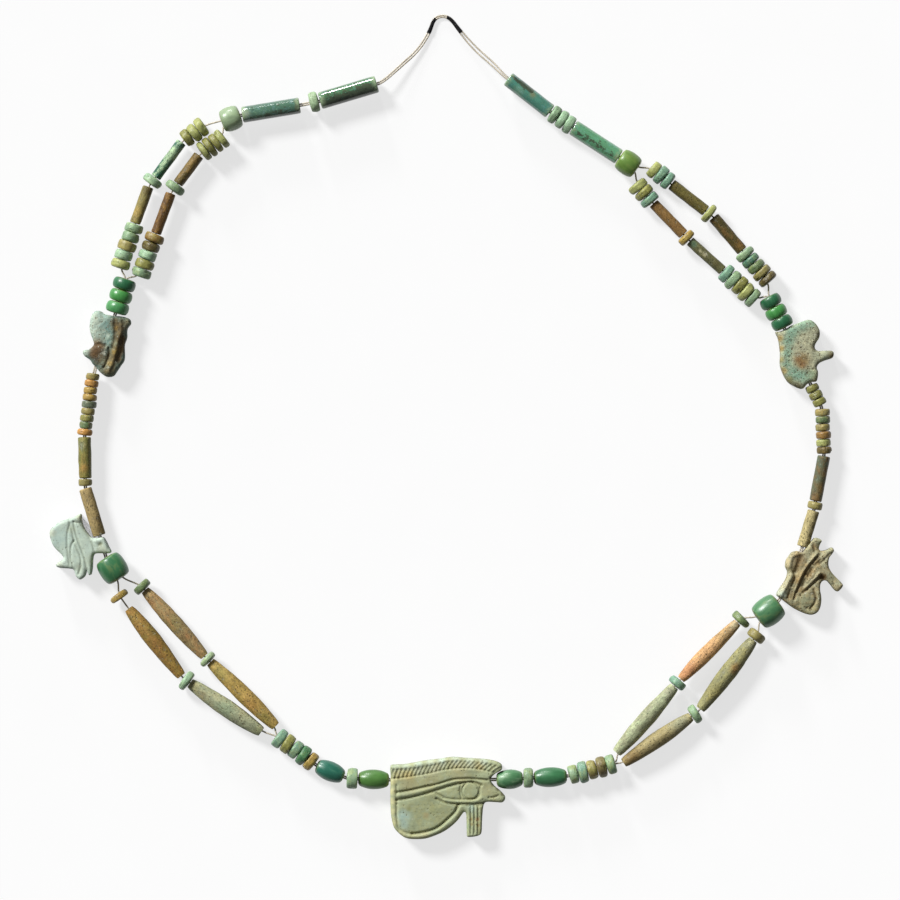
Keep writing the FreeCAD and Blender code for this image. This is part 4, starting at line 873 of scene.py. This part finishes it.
AMULETS = {
    "main_wedjat_amulet": {
        "box": (391, 756.5, 505.5, 838), "grid": 0.16, "edge": 0.75, "top": 4.4, "material": "amulet", "tint":
        "wedjat", "stain": ("khaki", 0.3), "bore": (16, 16), "bumpy": 0.8,
        "outline": read_points("""
            391.5,775 391,768 392,764.8 396,764 403,763.9 411,762.8 420,761 430,759.4 440,758.4 448,757 455,756.5
            465,757.3 475,758 485,758.6 492,759.6 498,761.4 501.5,763.5 502.6,767 501,769.6 496,772.4 492.5,775.5
            491,778.5 492.2,782 496,786.4 500,789.6 503.4,793 505.5,796 504.8,799.4 502,801.4 497,801.2 488,800.8
            484.8,802.4 483.6,806 483,812 482.5,820 482,830.6 480,833.8 475,835.4 468.2,835.6 467.2,832 467,820
            466.6,812.6 465.2,810.8 463.4,812 458.6,818.6 453,824.2 446,829.4 438,833.4 427,837.2 418,838 410,837.6
            404,835.4 398,830.4 394.8,826 392.8,819 391.6,810 391.2,792"""),
        "cuts": main_cuts(),
        # Some of these spots are painted light: the frost spots along the top margin and the pale spots down the left
        # margin and round the lower-left rim are painted highlights on the edges that face the lamp.
        # The bark spots along the right-hand edges below the brow and under the beak, and the umber spot at the brow's
        # right end, are painted shade on the sides turned away from the lamp.
        "spots": read_spots("""
            400,773,1.3,honey,0.35 409.4,773.7,1.2,honey,0.5 480,765,1.2,honey,0.45 420,770,1.4,bone,0.5
            436,766,1.6,bone,0.6 456,762,1.6,bone,0.5 470,763,1.3,bone,0.4 397,766,0.9,frost,0.4 407,765,0.9,frost,0.5
            419,763,0.9,frost,0.6 431,761,0.9,frost,0.65 443,759.4,0.9,frost,0.7 456,758.4,0.9,frost,0.7
            470,759,0.9,frost,0.6 484,760.4,0.9,frost,0.5 410,783,2.2,sand,0.35 432,778,2,sand,0.25
            460,772,2.4,sand,0.3 393.6,780,0.9,primrose,0.7 393.6,790,0.9,primrose,0.8 393.8,800,0.9,primrose,0.8
            394.4,810,0.9,primrose,0.75 395.6,820,1,primrose,0.7 402,833,1.3,primrose,0.6 414,836,1.2,primrose,0.5
            425,834.5,1.5,cream,0.5 408,794,1.5,stone,0.4 471,790,1.5,stone,0.5 430,806,2.6,stone,0.6
            415,810,2.2,stone,0.6 440,814,2.4,stone,0.6 420,824,2,stone,0.6 404.7,814.7,1.5,turquoise_white,0.6
            405,824,1,turquoise_white,0.4 409.7,808,0.5,olive,0.5 434.7,807,1.2,olive,0.28 427,814,0.7,sand,0.5
            472,807,1,turquoise_white,0.4 468,824,0.8,seafoam,0.5 478,818,0.45,rust,0.8 471.5,818,0.35,tobacco,0.7
            472,823,0.35,tobacco,0.5 478.4,824,0.4,tobacco,0.7 481,829,0.8,khaki,0.3 496,794,1.2,khaki,0.3
            487,788,1.6,sand,0.25 399.5,776.4,0.35,umber,0.7 491.6,777,0.5,bark,0.75 493.6,783,0.5,bark,0.75
            498.4,788,0.5,bark,0.75 503,792.6,0.5,bark,0.7 485.4,803,0.5,bark,0.8 501,769.6,0.4,umber,0.7"""),
    },
    "lower_left_wedjat_amulet": {
        "box": (56, 517, 117, 582.5), "edge": 0.8, "top": 4.2, "material": "amulet", "tint": "celadon", "stain":
        ("khaki", 0.12), "bore": (8, 12), "bumpy": 0.7,
        "outline": read_points("""
            87,517 88,523 89,528 91.5,533 95.5,538.6 98.5,540.8 103,541 109,540.3 112,544 114.6,549.4 117,554.4
            114,556.3 101.6,556.6 99,562 98.4,571.5 97,577.6 94.8,577.4 92.8,573 91.4,578.6 87,582.3 84,581 82,578
            80,572.6 76,571.5 66,570.6 62.6,568.5 64,565.8 68,563.2 70,560.6 67.6,557 62.4,551.8 59,547 57,541
            56.2,536 57.4,532.4 60.4,528.6 65,525.4 70,523 76,521 82,519"""),
        "cuts": read_cuts("""
            0.2 0.18 0.32 75,522 76.1,527.5 74,537 74,549 75,560 76.2,568; 0.2 0.19 0.32 76.7,526 79.4,537 80.6,543.9;
            0.2 0.2 0.32 80.6,543.9 77.8,549.4 77.2,560.6 79.4,569.4 81.7,573; 0.2 0.2 0.32 80.6,543.9 83.3,550.6
            87.2,560.6 87.2,569.4 85,577; 0.22 0.23 0.36 80,525 82.2,536 85.6,546 88.9,555 91.7,564 93,572; 0.2 0.23
            0.64 80.6,524.4 84,525.4 87.5,525.4; 0.2 0.2 0.36 87,527 94.4,538.5 98.9,547.2 100.8,556; 0.3 0.16 0.4
            105.4,548 107.6,546.6; 0.4 -0.16 0 103,543.5 109,542.6 113,550"""),
        "spots": read_spots("""
            107,547,0.45,olive,0.5 86,521,0.8,khaki,0.4 59,536,0.9,sand,0.35 108,553,1.2,bone,0.4 66,566,0.8,bone,0.3
            85,570,0.9,greige,0.4 66,540,2.4,turquoise_white,0.3 78,532,1,greige,0.4 97,562,1.4,greige,0.35"""),
    },
    "upper_left_wedjat_amulet": {
        "box": (86, 313.5, 135, 379.5), "edge": 1.0, "top": 4.2, "material": "grainy", "tint": (132, 168, 158),
        "stain": ("tobacco", 0.25), "bore": (9, 9), "bumpy": 2.2,
        "outline": read_points("""
            93.6,325 95.4,318 99,313.8 104,313.6 108.5,316.6 117,318.4 125,319 130,320 133.8,321.8 135,326.2
            131.4,331.6 131,340 128.6,348 128.6,361.6 124.8,368 121,373.6 117.4,378.4 111,379.4 104.6,375.4 100,370
            96.4,366.6 93.6,362.4 88,358.6 86.2,354.4 88.4,352.4 92.6,352 97.4,347.4 96.8,343 94.2,336 93.2,330"""),
        "cuts": read_cuts("""
            0.3 0.4 0.7 113,351 113.5,356 111,364 108,370; 0.34 0.34 0.7 119,322 119.5,332 119,342 117,350; 0.4 -0.36
            0 125,322 125,334 121.5,346 119.5,356 116.5,366 112.5,374; 0.3 0.3 0.6 98,348 104,346.6 109,348.6; 0.5 0.4
            0.6 127,340 126,352 123,364"""),
        "spots": read_spots("""
            95,325,2.2,frost,0.85 98,336,1.8,frost,0.6 104,318,1.6,frost,0.5 88,355,1,frost,0.85
            121,325,1.6,umber,0.85 125,332,1.6,bark,0.85 123,341,1.6,umber,0.85 121.5,350,1.5,bronze,0.85
            119,358,1.5,bronze,0.85 116,366,1.6,umber,0.85 112,373,1.9,umber,0.85 127,343,1.3,bark,0.9
            126,352,1.3,bark,0.9 123.4,361,1.2,bark,0.75 131,325,1.3,taupe,0.7 101,350,1.8,chestnut,0.85
            104,357,2,bark,0.75 97,357,1.2,walnut,0.85 101,364,1.2,bark,0.7 112,338,0.45,frost,0.8
            108,333,0.35,frost,0.7 118,346,0.7,greige,0.7 110,366,1,greige,0.6 120,331,0.5,ochre,0.7
            118.6,354,0.6,ochre,0.7 114,366,0.6,ochre,0.6 126,368,0.9,slate,0.6"""),
    },
    "lower_right_wedjat_amulet": {
        "box": (776, 540, 842, 617), "grid": 0.2, "edge": 0.8, "top": 4.0, "material": "grainy", "tint": (176, 173,
        138), "stain": ("tobacco", 0.4), "bore": (12, 6.5), "bumpy": 2.6,
        "outline": read_points("""
            776,597 779,590.6 782.6,585.6 785.8,579.6 786.8,574 784.8,569 785.4,563 788.4,558 791.6,554.2 797,553.2
            801,554.4 805,550 809,545.4 813.5,540.2 817.8,540.6 820.6,543 819,546.4 817.8,551 820.4,553 825.6,552
            830.6,549.6 832.8,552.4 831,556 828,560 827.2,566 828.4,571 831.4,575.6 836,580.6 840.6,585.4 841.6,588
            839,591.8 836,593.6 833,591.6 829,586.4 825.6,583 822,582.8 819.4,586 819,592 820,598 820.2,603.6
            819,609.8 816,614.6 811,616.8 806,616.2 800,614 793,610.4 786,605.4 780,600.6"""),
        "cuts": read_cuts("""
            0.55 -0.5 0 780,597 785,588 790,578; 0.5 -0.34 0 788,569 790,560 796,556; 0.34 0.5 0.8 786.7,600
            789.4,592; 0.3 0.4 0.7 790.6,588 793.6,579.4 792.6,574; 0.5 0.45 0.75 795,573 798,564 801,558; 0.2 0.3 0.6
            790,600 792,592 796,583; 0.34 0.42 0.7 793,601 796,591.6 801.4,579.4 807,569.6 813.3,562 818.4,556.6; 0.3
            -0.5 0 794,592 797.5,583 802.5,573 809,563.4 814.5,557.5; 0.3 0.34 0.6 801,588 804,582; 0.34 0.3 0.6
            807,577 811,570.4; 0.3 0.3 0.5 814,567 819,562; 0.3 -0.3 0 806,584 812,577; 0.2 0.3 0.8 799.4,597
            799.6,597.6; 0.2 0.3 0.8 805,610 805.6,610.2; 0.2 0.3 0.8 832,586 832.4,586.6; 0.3 -0.4 0 804,590 811,583
            818,575.5; 0.3 0.4 0.7 802,594.6 808.9,588 814,583.4 817.8,580; 0.24 0.4 0.8 812.4,591.7 814.4,598.3
            813.9,604 809,610.6; 0.5 0.7 1 820,578.6 823,580; 0.24 0.34 0.6 811.5,545 813.5,553; 0.24 0.3 0.5 818,566
            823,562 828,556"""),
        "spots": read_spots("""
            779.5,596,1.5,frost,0.8 784,588,1.2,cream,0.8 788,578,0.9,cream,0.6 789,562,1.6,cream,0.75
            798,562,1.8,walnut,0.65 813,548,0.7,tobacco,0.5 812,571,0.45,cream,0.8 806,575,1.8,tobacco,0.6
            796,582,1,tobacco,0.55 822,579.4,1,bark,0.9 800,592,1.2,tobacco,0.5 815,563,1.1,tobacco,0.45
            790,598,1,bronze,0.55 803,604,2,stone,0.5 812,612,1.2,khaki,0.4 829,578,1,slate,0.4 836,588,1.4,greige,0.4
            811,595,0.5,bark,0.7 814,600,0.4,bark,0.6 830,553,1,greige,0.6 817,543,1,greige,0.6 794,610,0.9,umber,0.6
            784,603,0.8,umber,0.6 803,615,0.8,umber,0.5"""),
    },
    "upper_right_wedjat_amulet": {
        "box": (777, 321, 834.5, 390), "edge": 1.0, "top": 4.35, "material": "grainy", "tint": (180, 181, 150),
        "stain": ("tobacco", 0.12), "bore": (9, 9), "bumpy": 0.8,
        "outline": read_points("""
            777.2,333.6 779.8,340 781.4,350 781.8,358 781.6,365 783,371 786,378 790,383.8 795,387 800,389.4 804,389.8
            808,385.4 812,383.2 817,382.6 818.6,378 818.8,373 817.6,368.6 820,364.6 825,362 830,360.4 833,359
            834.4,356 833.8,353.2 831.8,352 825,352 819,352.3 816.2,350.4 815.6,347.4 817,344 820,339 820.6,334
            819.6,330 817,325.6 813,322.2 809,321.2 803,323 797,325.4 792,327.2 787,330.6 781,333"""),
        "cuts": [(0.16, 0.2, 0.9, [p, (p[0] + 0.5, p[1] + 0.4)]) for p in read_points("""
            811,325.5 794,328 801,337 805.5,336 789,354 790,358 796,373.6 808,373.8 802,349 792,342 806,376 799,345
            790,362 813,370""")],
        "spots": read_spots("""
            803,326,1.6,lagoon,0.7 793,333,1.6,lagoon,0.8 789,343,1.4,lagoon,0.75 788,354,1.3,lagoon,0.75
            788,365,1.4,lagoon,0.7 794,375,1.8,lagoon,0.8 804,378,1.6,lagoon,0.75 813,376,1.2,sage,0.6
            824,357,2,greige,0.6 812,325,1,lagoon,0.6 802.6,362,1.8,tobacco,0.8 803,366,0.8,chestnut,0.6
            799,361,0.7,chestnut,0.5 806,359,0.5,umber,0.4 781,340,0.7,ochre,0.8 782.6,350,0.7,ochre,0.8
            782.6,361,0.7,khaki,0.8 784.6,372,0.9,ochre,0.7 790,381,1,khaki,0.7 798,387,1,umber,0.7
            831.5,356.5,0.9,umber,0.8 818.6,336,0.6,umber,0.6 815,349,0.8,umber,0.6 817,381,0.8,umber,0.5"""),
    },
}

for index, (amulet_node, amulet_spec) in enumerate(AMULETS.items()):
    dress_amulet(amulet_node, amulet_spec, index)

# ---------------------------------------------------------------- threads


def smooth_curve(name, points, radius, material):
    """A curve of one smooth spline whose control points are the given points."""
    curve = bpy.data.curves.new(name, "CURVE")
    curve.dimensions = "3D"
    spline = curve.splines.new("NURBS")
    spline.points.add(len(points) - 1)
    for spot, place in zip(spline.points, points):
        spot.co = (*place, 1.0)
    spline.order_u = 3
    spline.use_endpoint_u = True
    spline.resolution_u = 10
    curve.bevel_depth = radius
    curve.bevel_resolution = 3
    curve.use_fill_caps = True
    curve.materials.append(material)
    return add_object(name, curve)


THREAD_RADIUS = 0.18 * MM
THREAD_SPACING = 0.42 * MM
THREAD_HEIGHT = 2.6 * MM
EXIT = 0.3 * MM


def side_items(side, small_beads, last_discs, wedged, junction):
    """What the threads pass through on one side, outwards from the main amulet. A tuple is one strand of a fork."""
    low, high = f"lower_{side}_", f"upper_{side}_"

    def spindles(strand, number):
        return low + strand + "_front_spindle", number, low + strand + "_back_spindle", number + 1

    def tubes(strand, number):
        first = high + strand
        return first + "_side_rings", first + "_side_tube", number, first + "_back_tube", first + "_back_rings"

    return [
        side + "_inner_barrel_bead", side + "_barrel_spacer_ring", side + "_outer_barrel_bead", low + "disc_beads",
        spindles("outer", wedged), spindles("inner", wedged + 2), f"junction {junction}", low + "wedjat_amulet",
        side + "_lower_side_tube", side + "_side_spacer_bead", side + "_upper_side_tube", *small_beads,
        high + "wedjat_amulet", side + "_glossy_beads", tubes("outer", wedged + 4), tubes("inner", wedged + 5),
        f"junction {junction + 1}", high + "front_wide_tube", high + last_discs, high + "back_wide_tube",
    ]


SIDES = {
    "left": side_items("left", ["left_small_beads"], "spacer_ring", 0, 0),
    "right": side_items("right", ["right_lower_small_beads", "right_upper_small_beads"], "disc_beads", 6, 2),
}


def nearest_bead(beads, pixel):
    place = photo_place(pixel)
    return min(beads, key=lambda b: np.linalg.norm(b.middle()[:2] - place))


def reach(item, heading_from):
    """The first and the last point of a bored thing's axis, in the order that the thread passes them."""
    if isinstance(item, int):
        bead = nearest_bead(BEADS["wedged_rings"], WEDGED[item][0])
        ends = [bead.start, bead.end()]
    elif item.startswith("junction"):
        bead = nearest_bead(BEADS["junction_beads"], JUNCTIONS[int(item.split()[1])][0])
        ends = [bead.start, bead.end()]
    elif item in BEADS:
        ends = [BEADS[item][0].start, BEADS[item][-1].end()]
    else:
        reach_of = JOINT_AXES[item] * 3 * MM
        ends = [JOINT_PLACES[item] - reach_of, JOINT_PLACES[item] + reach_of]
    if np.linalg.norm(ends[1] - heading_from) < np.linalg.norm(ends[0] - heading_from):
        ends.reverse()
    return ends


def thread_route(items, strand, outside):
    """The points that one thread passes on one side, from the main amulet outwards."""
    at = JOINT_PLACES["main_wedjat_amulet"]
    points = []
    for index, item in enumerate(items):
        group = item if isinstance(item, tuple) else None
        if group is not None:
            first = not isinstance(items[index - 1], tuple)
            if first != (strand == 0):
                continue
            for part in group:
                a, b = reach(part, at)
                way = (b - a) / np.linalg.norm(b - a)
                points += [a + way * EXIT, b - way * EXIT]
                at = b
            continue
        a, b = reach(item, at)
        way = (b - a) / np.linalg.norm(b - a)
        beside = np.cross(UP, way) * outside * THREAD_SPACING / 2
        points += [a + way * EXIT + beside, b - way * EXIT + beside]
        if index + 1 < len(items) and isinstance(items[index + 1], tuple):
            points.append(b + way * EXIT + beside)
        at = b
    last = points[-1]
    points[-1] = last + way * EXIT
    return [np.array([p[0], p[1], THREAD_HEIGHT]) for p in points]


def string_beads():
    """The two threads inside the beads."""
    for number, node in enumerate(("outer_thread", "inner_thread")):
        left = thread_route(SIDES["left"], number, 1 - 2 * number)
        right = thread_route(SIDES["right"], number, 2 * number - 1)
        dress(smooth_curve("strung_" + node, left[::-1] + right, THREAD_RADIUS, MATERIALS["thread"]), node)


string_beads()

# The free thread's route, midway between its two strands, in millimetres
LEFT_END = (-15.235, 81.608, 2.6)
RIGHT_END = (13.545, 82.745, 2.6)
LEFT_HEADING, RIGHT_HEADING = 16.7, 142
FREE_LEAD = 1.2
FREE_ROUTE = [
    (-10.4, 85.3, 1.7), (-6.1, 89.2, 0.8), (-3.7, 93.1, 0.55), (-2.6, 96.5, 0.52),
    (0.5, 96.8, 0.52), (3.1, 93.2, 0.55), (6.4, 89.4, 0.7), (10.2, 86.1, 1.6),
]
FREE_SPACINGS = [0.42, 0.42, 0.46, 0.46, 0.46, 0.46, 0.46, 0.55, 0.8, 0.75, 0.42, 0.42]


def free_middle():
    lead = [np.array((math.cos(math.radians(h)), math.sin(math.radians(h)), 0)) * FREE_LEAD
            for h in (LEFT_HEADING, RIGHT_HEADING)]
    points = [LEFT_END, LEFT_END + lead[0]] + FREE_ROUTE + [RIGHT_END + lead[1], RIGHT_END]
    return np.array([tuple(p) for p in points])


def free_strand(side):
    middle = free_middle()
    last = len(middle) - 1
    points = []
    for i, point in enumerate(middle):
        near, far = (0, 1) if i <= 1 else (last - 1, last) if i >= last - 1 else (i - 1, i + 1)
        way = middle[far] - middle[near]
        level = np.array((-way[1], way[0], 0)) / math.hypot(way[0], way[1])
        points.append((point + level * side * FREE_SPACINGS[i] / 2) * MM)
    return points


def spline_path(points):
    """The places along the smooth spline of some control points."""
    curve = smooth_curve("measured_route", points, 0.0, MATERIALS["thread"])
    bpy.context.view_layer.update()
    mesh = bpy.data.meshes.new_from_object(curve)
    places = np.array([tuple(v.co) for v in mesh.vertices])
    bpy.data.objects.remove(curve)
    bpy.data.meshes.remove(mesh)
    return places


def even_path(places, step):
    lengths = np.concatenate([[0], np.cumsum(np.linalg.norm(np.diff(places, axis=0), axis=1))])
    count = max(2, int(lengths[-1] / step))
    marks = np.linspace(0, lengths[-1], count)
    return np.stack([np.interp(marks, lengths, places[:, k]) for k in range(3)], 1)


def tube_mesh(path, radii, sides):
    """A round tube along a path, closed at both ends."""
    way = np.gradient(path, axis=0)
    way /= np.linalg.norm(way, axis=1)[:, None]
    across = np.cross(way[0], UP)
    verts = []
    for place, along, radius in zip(path, way, radii):
        across = across - along * (across @ along)
        across /= np.linalg.norm(across)
        other = np.cross(along, across)
        for a in turns(sides):
            verts.append(place + (across * math.cos(a) + other * math.sin(a)) * radius)
    faces = [tuple(range(sides)), tuple(reversed(range(len(verts) - sides, len(verts))))]
    for i in range(len(path) - 1):
        for k in range(sides):
            m = (k + 1) % sides
            faces.append((i * sides + k, (i + 1) * sides + k, (i + 1) * sides + m, i * sides + m))
    return verts, faces


def binding(name, path, first_radius, last_radius):
    """Black thread wound closely round both strands, in even turns that follow their path."""
    pitch, thread = 0.24 * MM, 0.12 * MM
    path = even_path(path, 0.02 * MM)
    way = np.gradient(path, axis=0)
    way /= np.linalg.norm(way, axis=1)[:, None]
    run = np.concatenate([[0], np.cumsum(np.linalg.norm(np.diff(path, axis=0), axis=1))])
    level = np.cross(UP, way)
    level /= np.linalg.norm(level, axis=1)[:, None]
    rise = np.cross(way, level)
    turn = TURN * run / pitch
    share = run / run[-1]
    around = lerp(first_radius, last_radius, share) - thread
    high = around * 0.92
    coil = path + level * (np.cos(turn) * around)[:, None] + rise * (np.sin(turn) * high)[:, None]
    verts, faces = tube_mesh(coil, np.full(len(coil), thread), 7)
    core_verts, core_faces = tube_mesh(path[::6], lerp(first_radius, last_radius, share[::6]) - thread * 1.2, 12)
    offset = len(verts)
    faces += [tuple(i + offset for i in f) for f in core_faces]
    return make_object(name, verts + core_verts, faces, MATERIALS["binding"])


def dress_free_thread():
    middle = spline_path([p * MM for p in free_middle()])
    top = free_middle()[5:7] * MM
    foot = (free_middle()[4] * MM, free_middle()[7] * MM)

    def near(place):
        return int(np.argmin(np.linalg.norm(middle - place, axis=1)))

    left = middle[near(foot[0]):near(top[0]) + 1]
    right = middle[near(top[1]):near(foot[1]) + 1]
    foot_radius, top_radius = 0.5 * MM, 0.42 * MM
    bindings = [binding("left_binding", left, foot_radius, top_radius),
                binding("right_binding", right, top_radius, foot_radius)]
    for piece in bindings:
        dress(piece, "black_bindings")
    for side, name, held in ((1, "free_strand_outer", bindings), (-1, "free_strand_inner", [])):
        points = free_strand(side)
        piece = smooth_curve(name, points, THREAD_RADIUS, MATERIALS["thread"])
        dress(piece, "free_thread")
        length = float(np.linalg.norm(np.diff(spline_path(points), axis=0), axis=1).sum())


dress_free_thread()

# ---------------------------------------------------------------- floor, light and camera

WORLD_STRENGTH = 0.16
# Each lamp: its name, its strength, its width in degrees and the direction that it shines from
LAMPS = [("key", 3.9, 14, (-0.85, 0.85, 0.8)), ("rim", 1.3, 8, (-0.3, 1.0, 0.24))]
FLOOR_GLOW = 0.7
FLOOR_HALF = 1.5
CAMERA_DISTANCE = 1.1
LENS = 200.0


def floor_material():
    """White paper to the eye and in reflections, with a faint shadow, and grey to the light that it throws back."""
    g = Graph("white_paper")
    paths = g.node("ShaderNodeLightPath").outputs
    seen = g.math("MAXIMUM", g.math("MAXIMUM", paths["Is Camera Ray"], paths["Is Glossy Ray"]),
                  paths["Is Transmission Ray"])
    grain = g.noise(g.node("ShaderNodeTexCoord").outputs["Object"], 60, 4)
    white = g.mix(grain, np.full(3, 1 - FLOOR_GLOW), np.full(3, 0.985 - FLOOR_GLOW))
    g.set("Base Color", g.mix(seen, (0.13, 0.13, 0.13), white))
    g.set("Roughness", 0.9)
    g.set("Specular IOR Level", 0.0)
    g.set("Emission Color", (1, 1, 1, 1))
    g.set("Emission Strength", g.times(seen, FLOOR_GLOW))
    return g.material


def set_stage():
    corners = [(x * FLOOR_HALF, y * FLOOR_HALF, 0) for x, y in ((-1, -1), (1, -1), (1, 1), (-1, 1))]
    make_object("paper_floor", corners, [(0, 1, 2, 3)], floor_material())
    world = bpy.data.worlds.new("studio")
    world.use_nodes = True
    tree = world.node_tree
    paths = tree.nodes.new("ShaderNodeLightPath")
    lit, seen = tree.nodes.new("ShaderNodeBackground"), tree.nodes.new("ShaderNodeBackground")
    blend = tree.nodes.new("ShaderNodeMixShader")
    lit.inputs[0].default_value = seen.inputs[0].default_value = (1, 1, 1, 1)
    lit.inputs[1].default_value = WORLD_STRENGTH
    tree.links.new(paths.outputs["Is Camera Ray"], blend.inputs[0])
    tree.links.new(lit.outputs[0], blend.inputs[1])
    tree.links.new(seen.outputs[0], blend.inputs[2])
    tree.links.new(blend.outputs[0], tree.nodes["World Output"].inputs[0])
    bpy.context.scene.world = world
    for name, strength, width, direction in LAMPS:
        lamp = bpy.data.lights.new(name, "SUN")
        lamp.energy, lamp.angle = strength, math.radians(width)
        add_object(name, lamp).rotation_euler = Vector(direction).to_track_quat("Z", "Y").to_euler()


set_stage()

scene = bpy.context.scene
scene.view_settings.view_transform = "Standard"
camera_data = bpy.data.cameras.new("camera")
camera_data.lens = LENS
camera_data.sensor_width = LENS * PHOTO_SIZE * PHOTO_PIXEL / CAMERA_DISTANCE
camera_data.clip_start = 0.01
scene.camera = add_object("camera", camera_data)
centre = photo_place((PHOTO_SIZE / 2, PHOTO_SIZE / 2))
scene.camera.location = (centre[0], centre[1], CAMERA_DISTANCE)
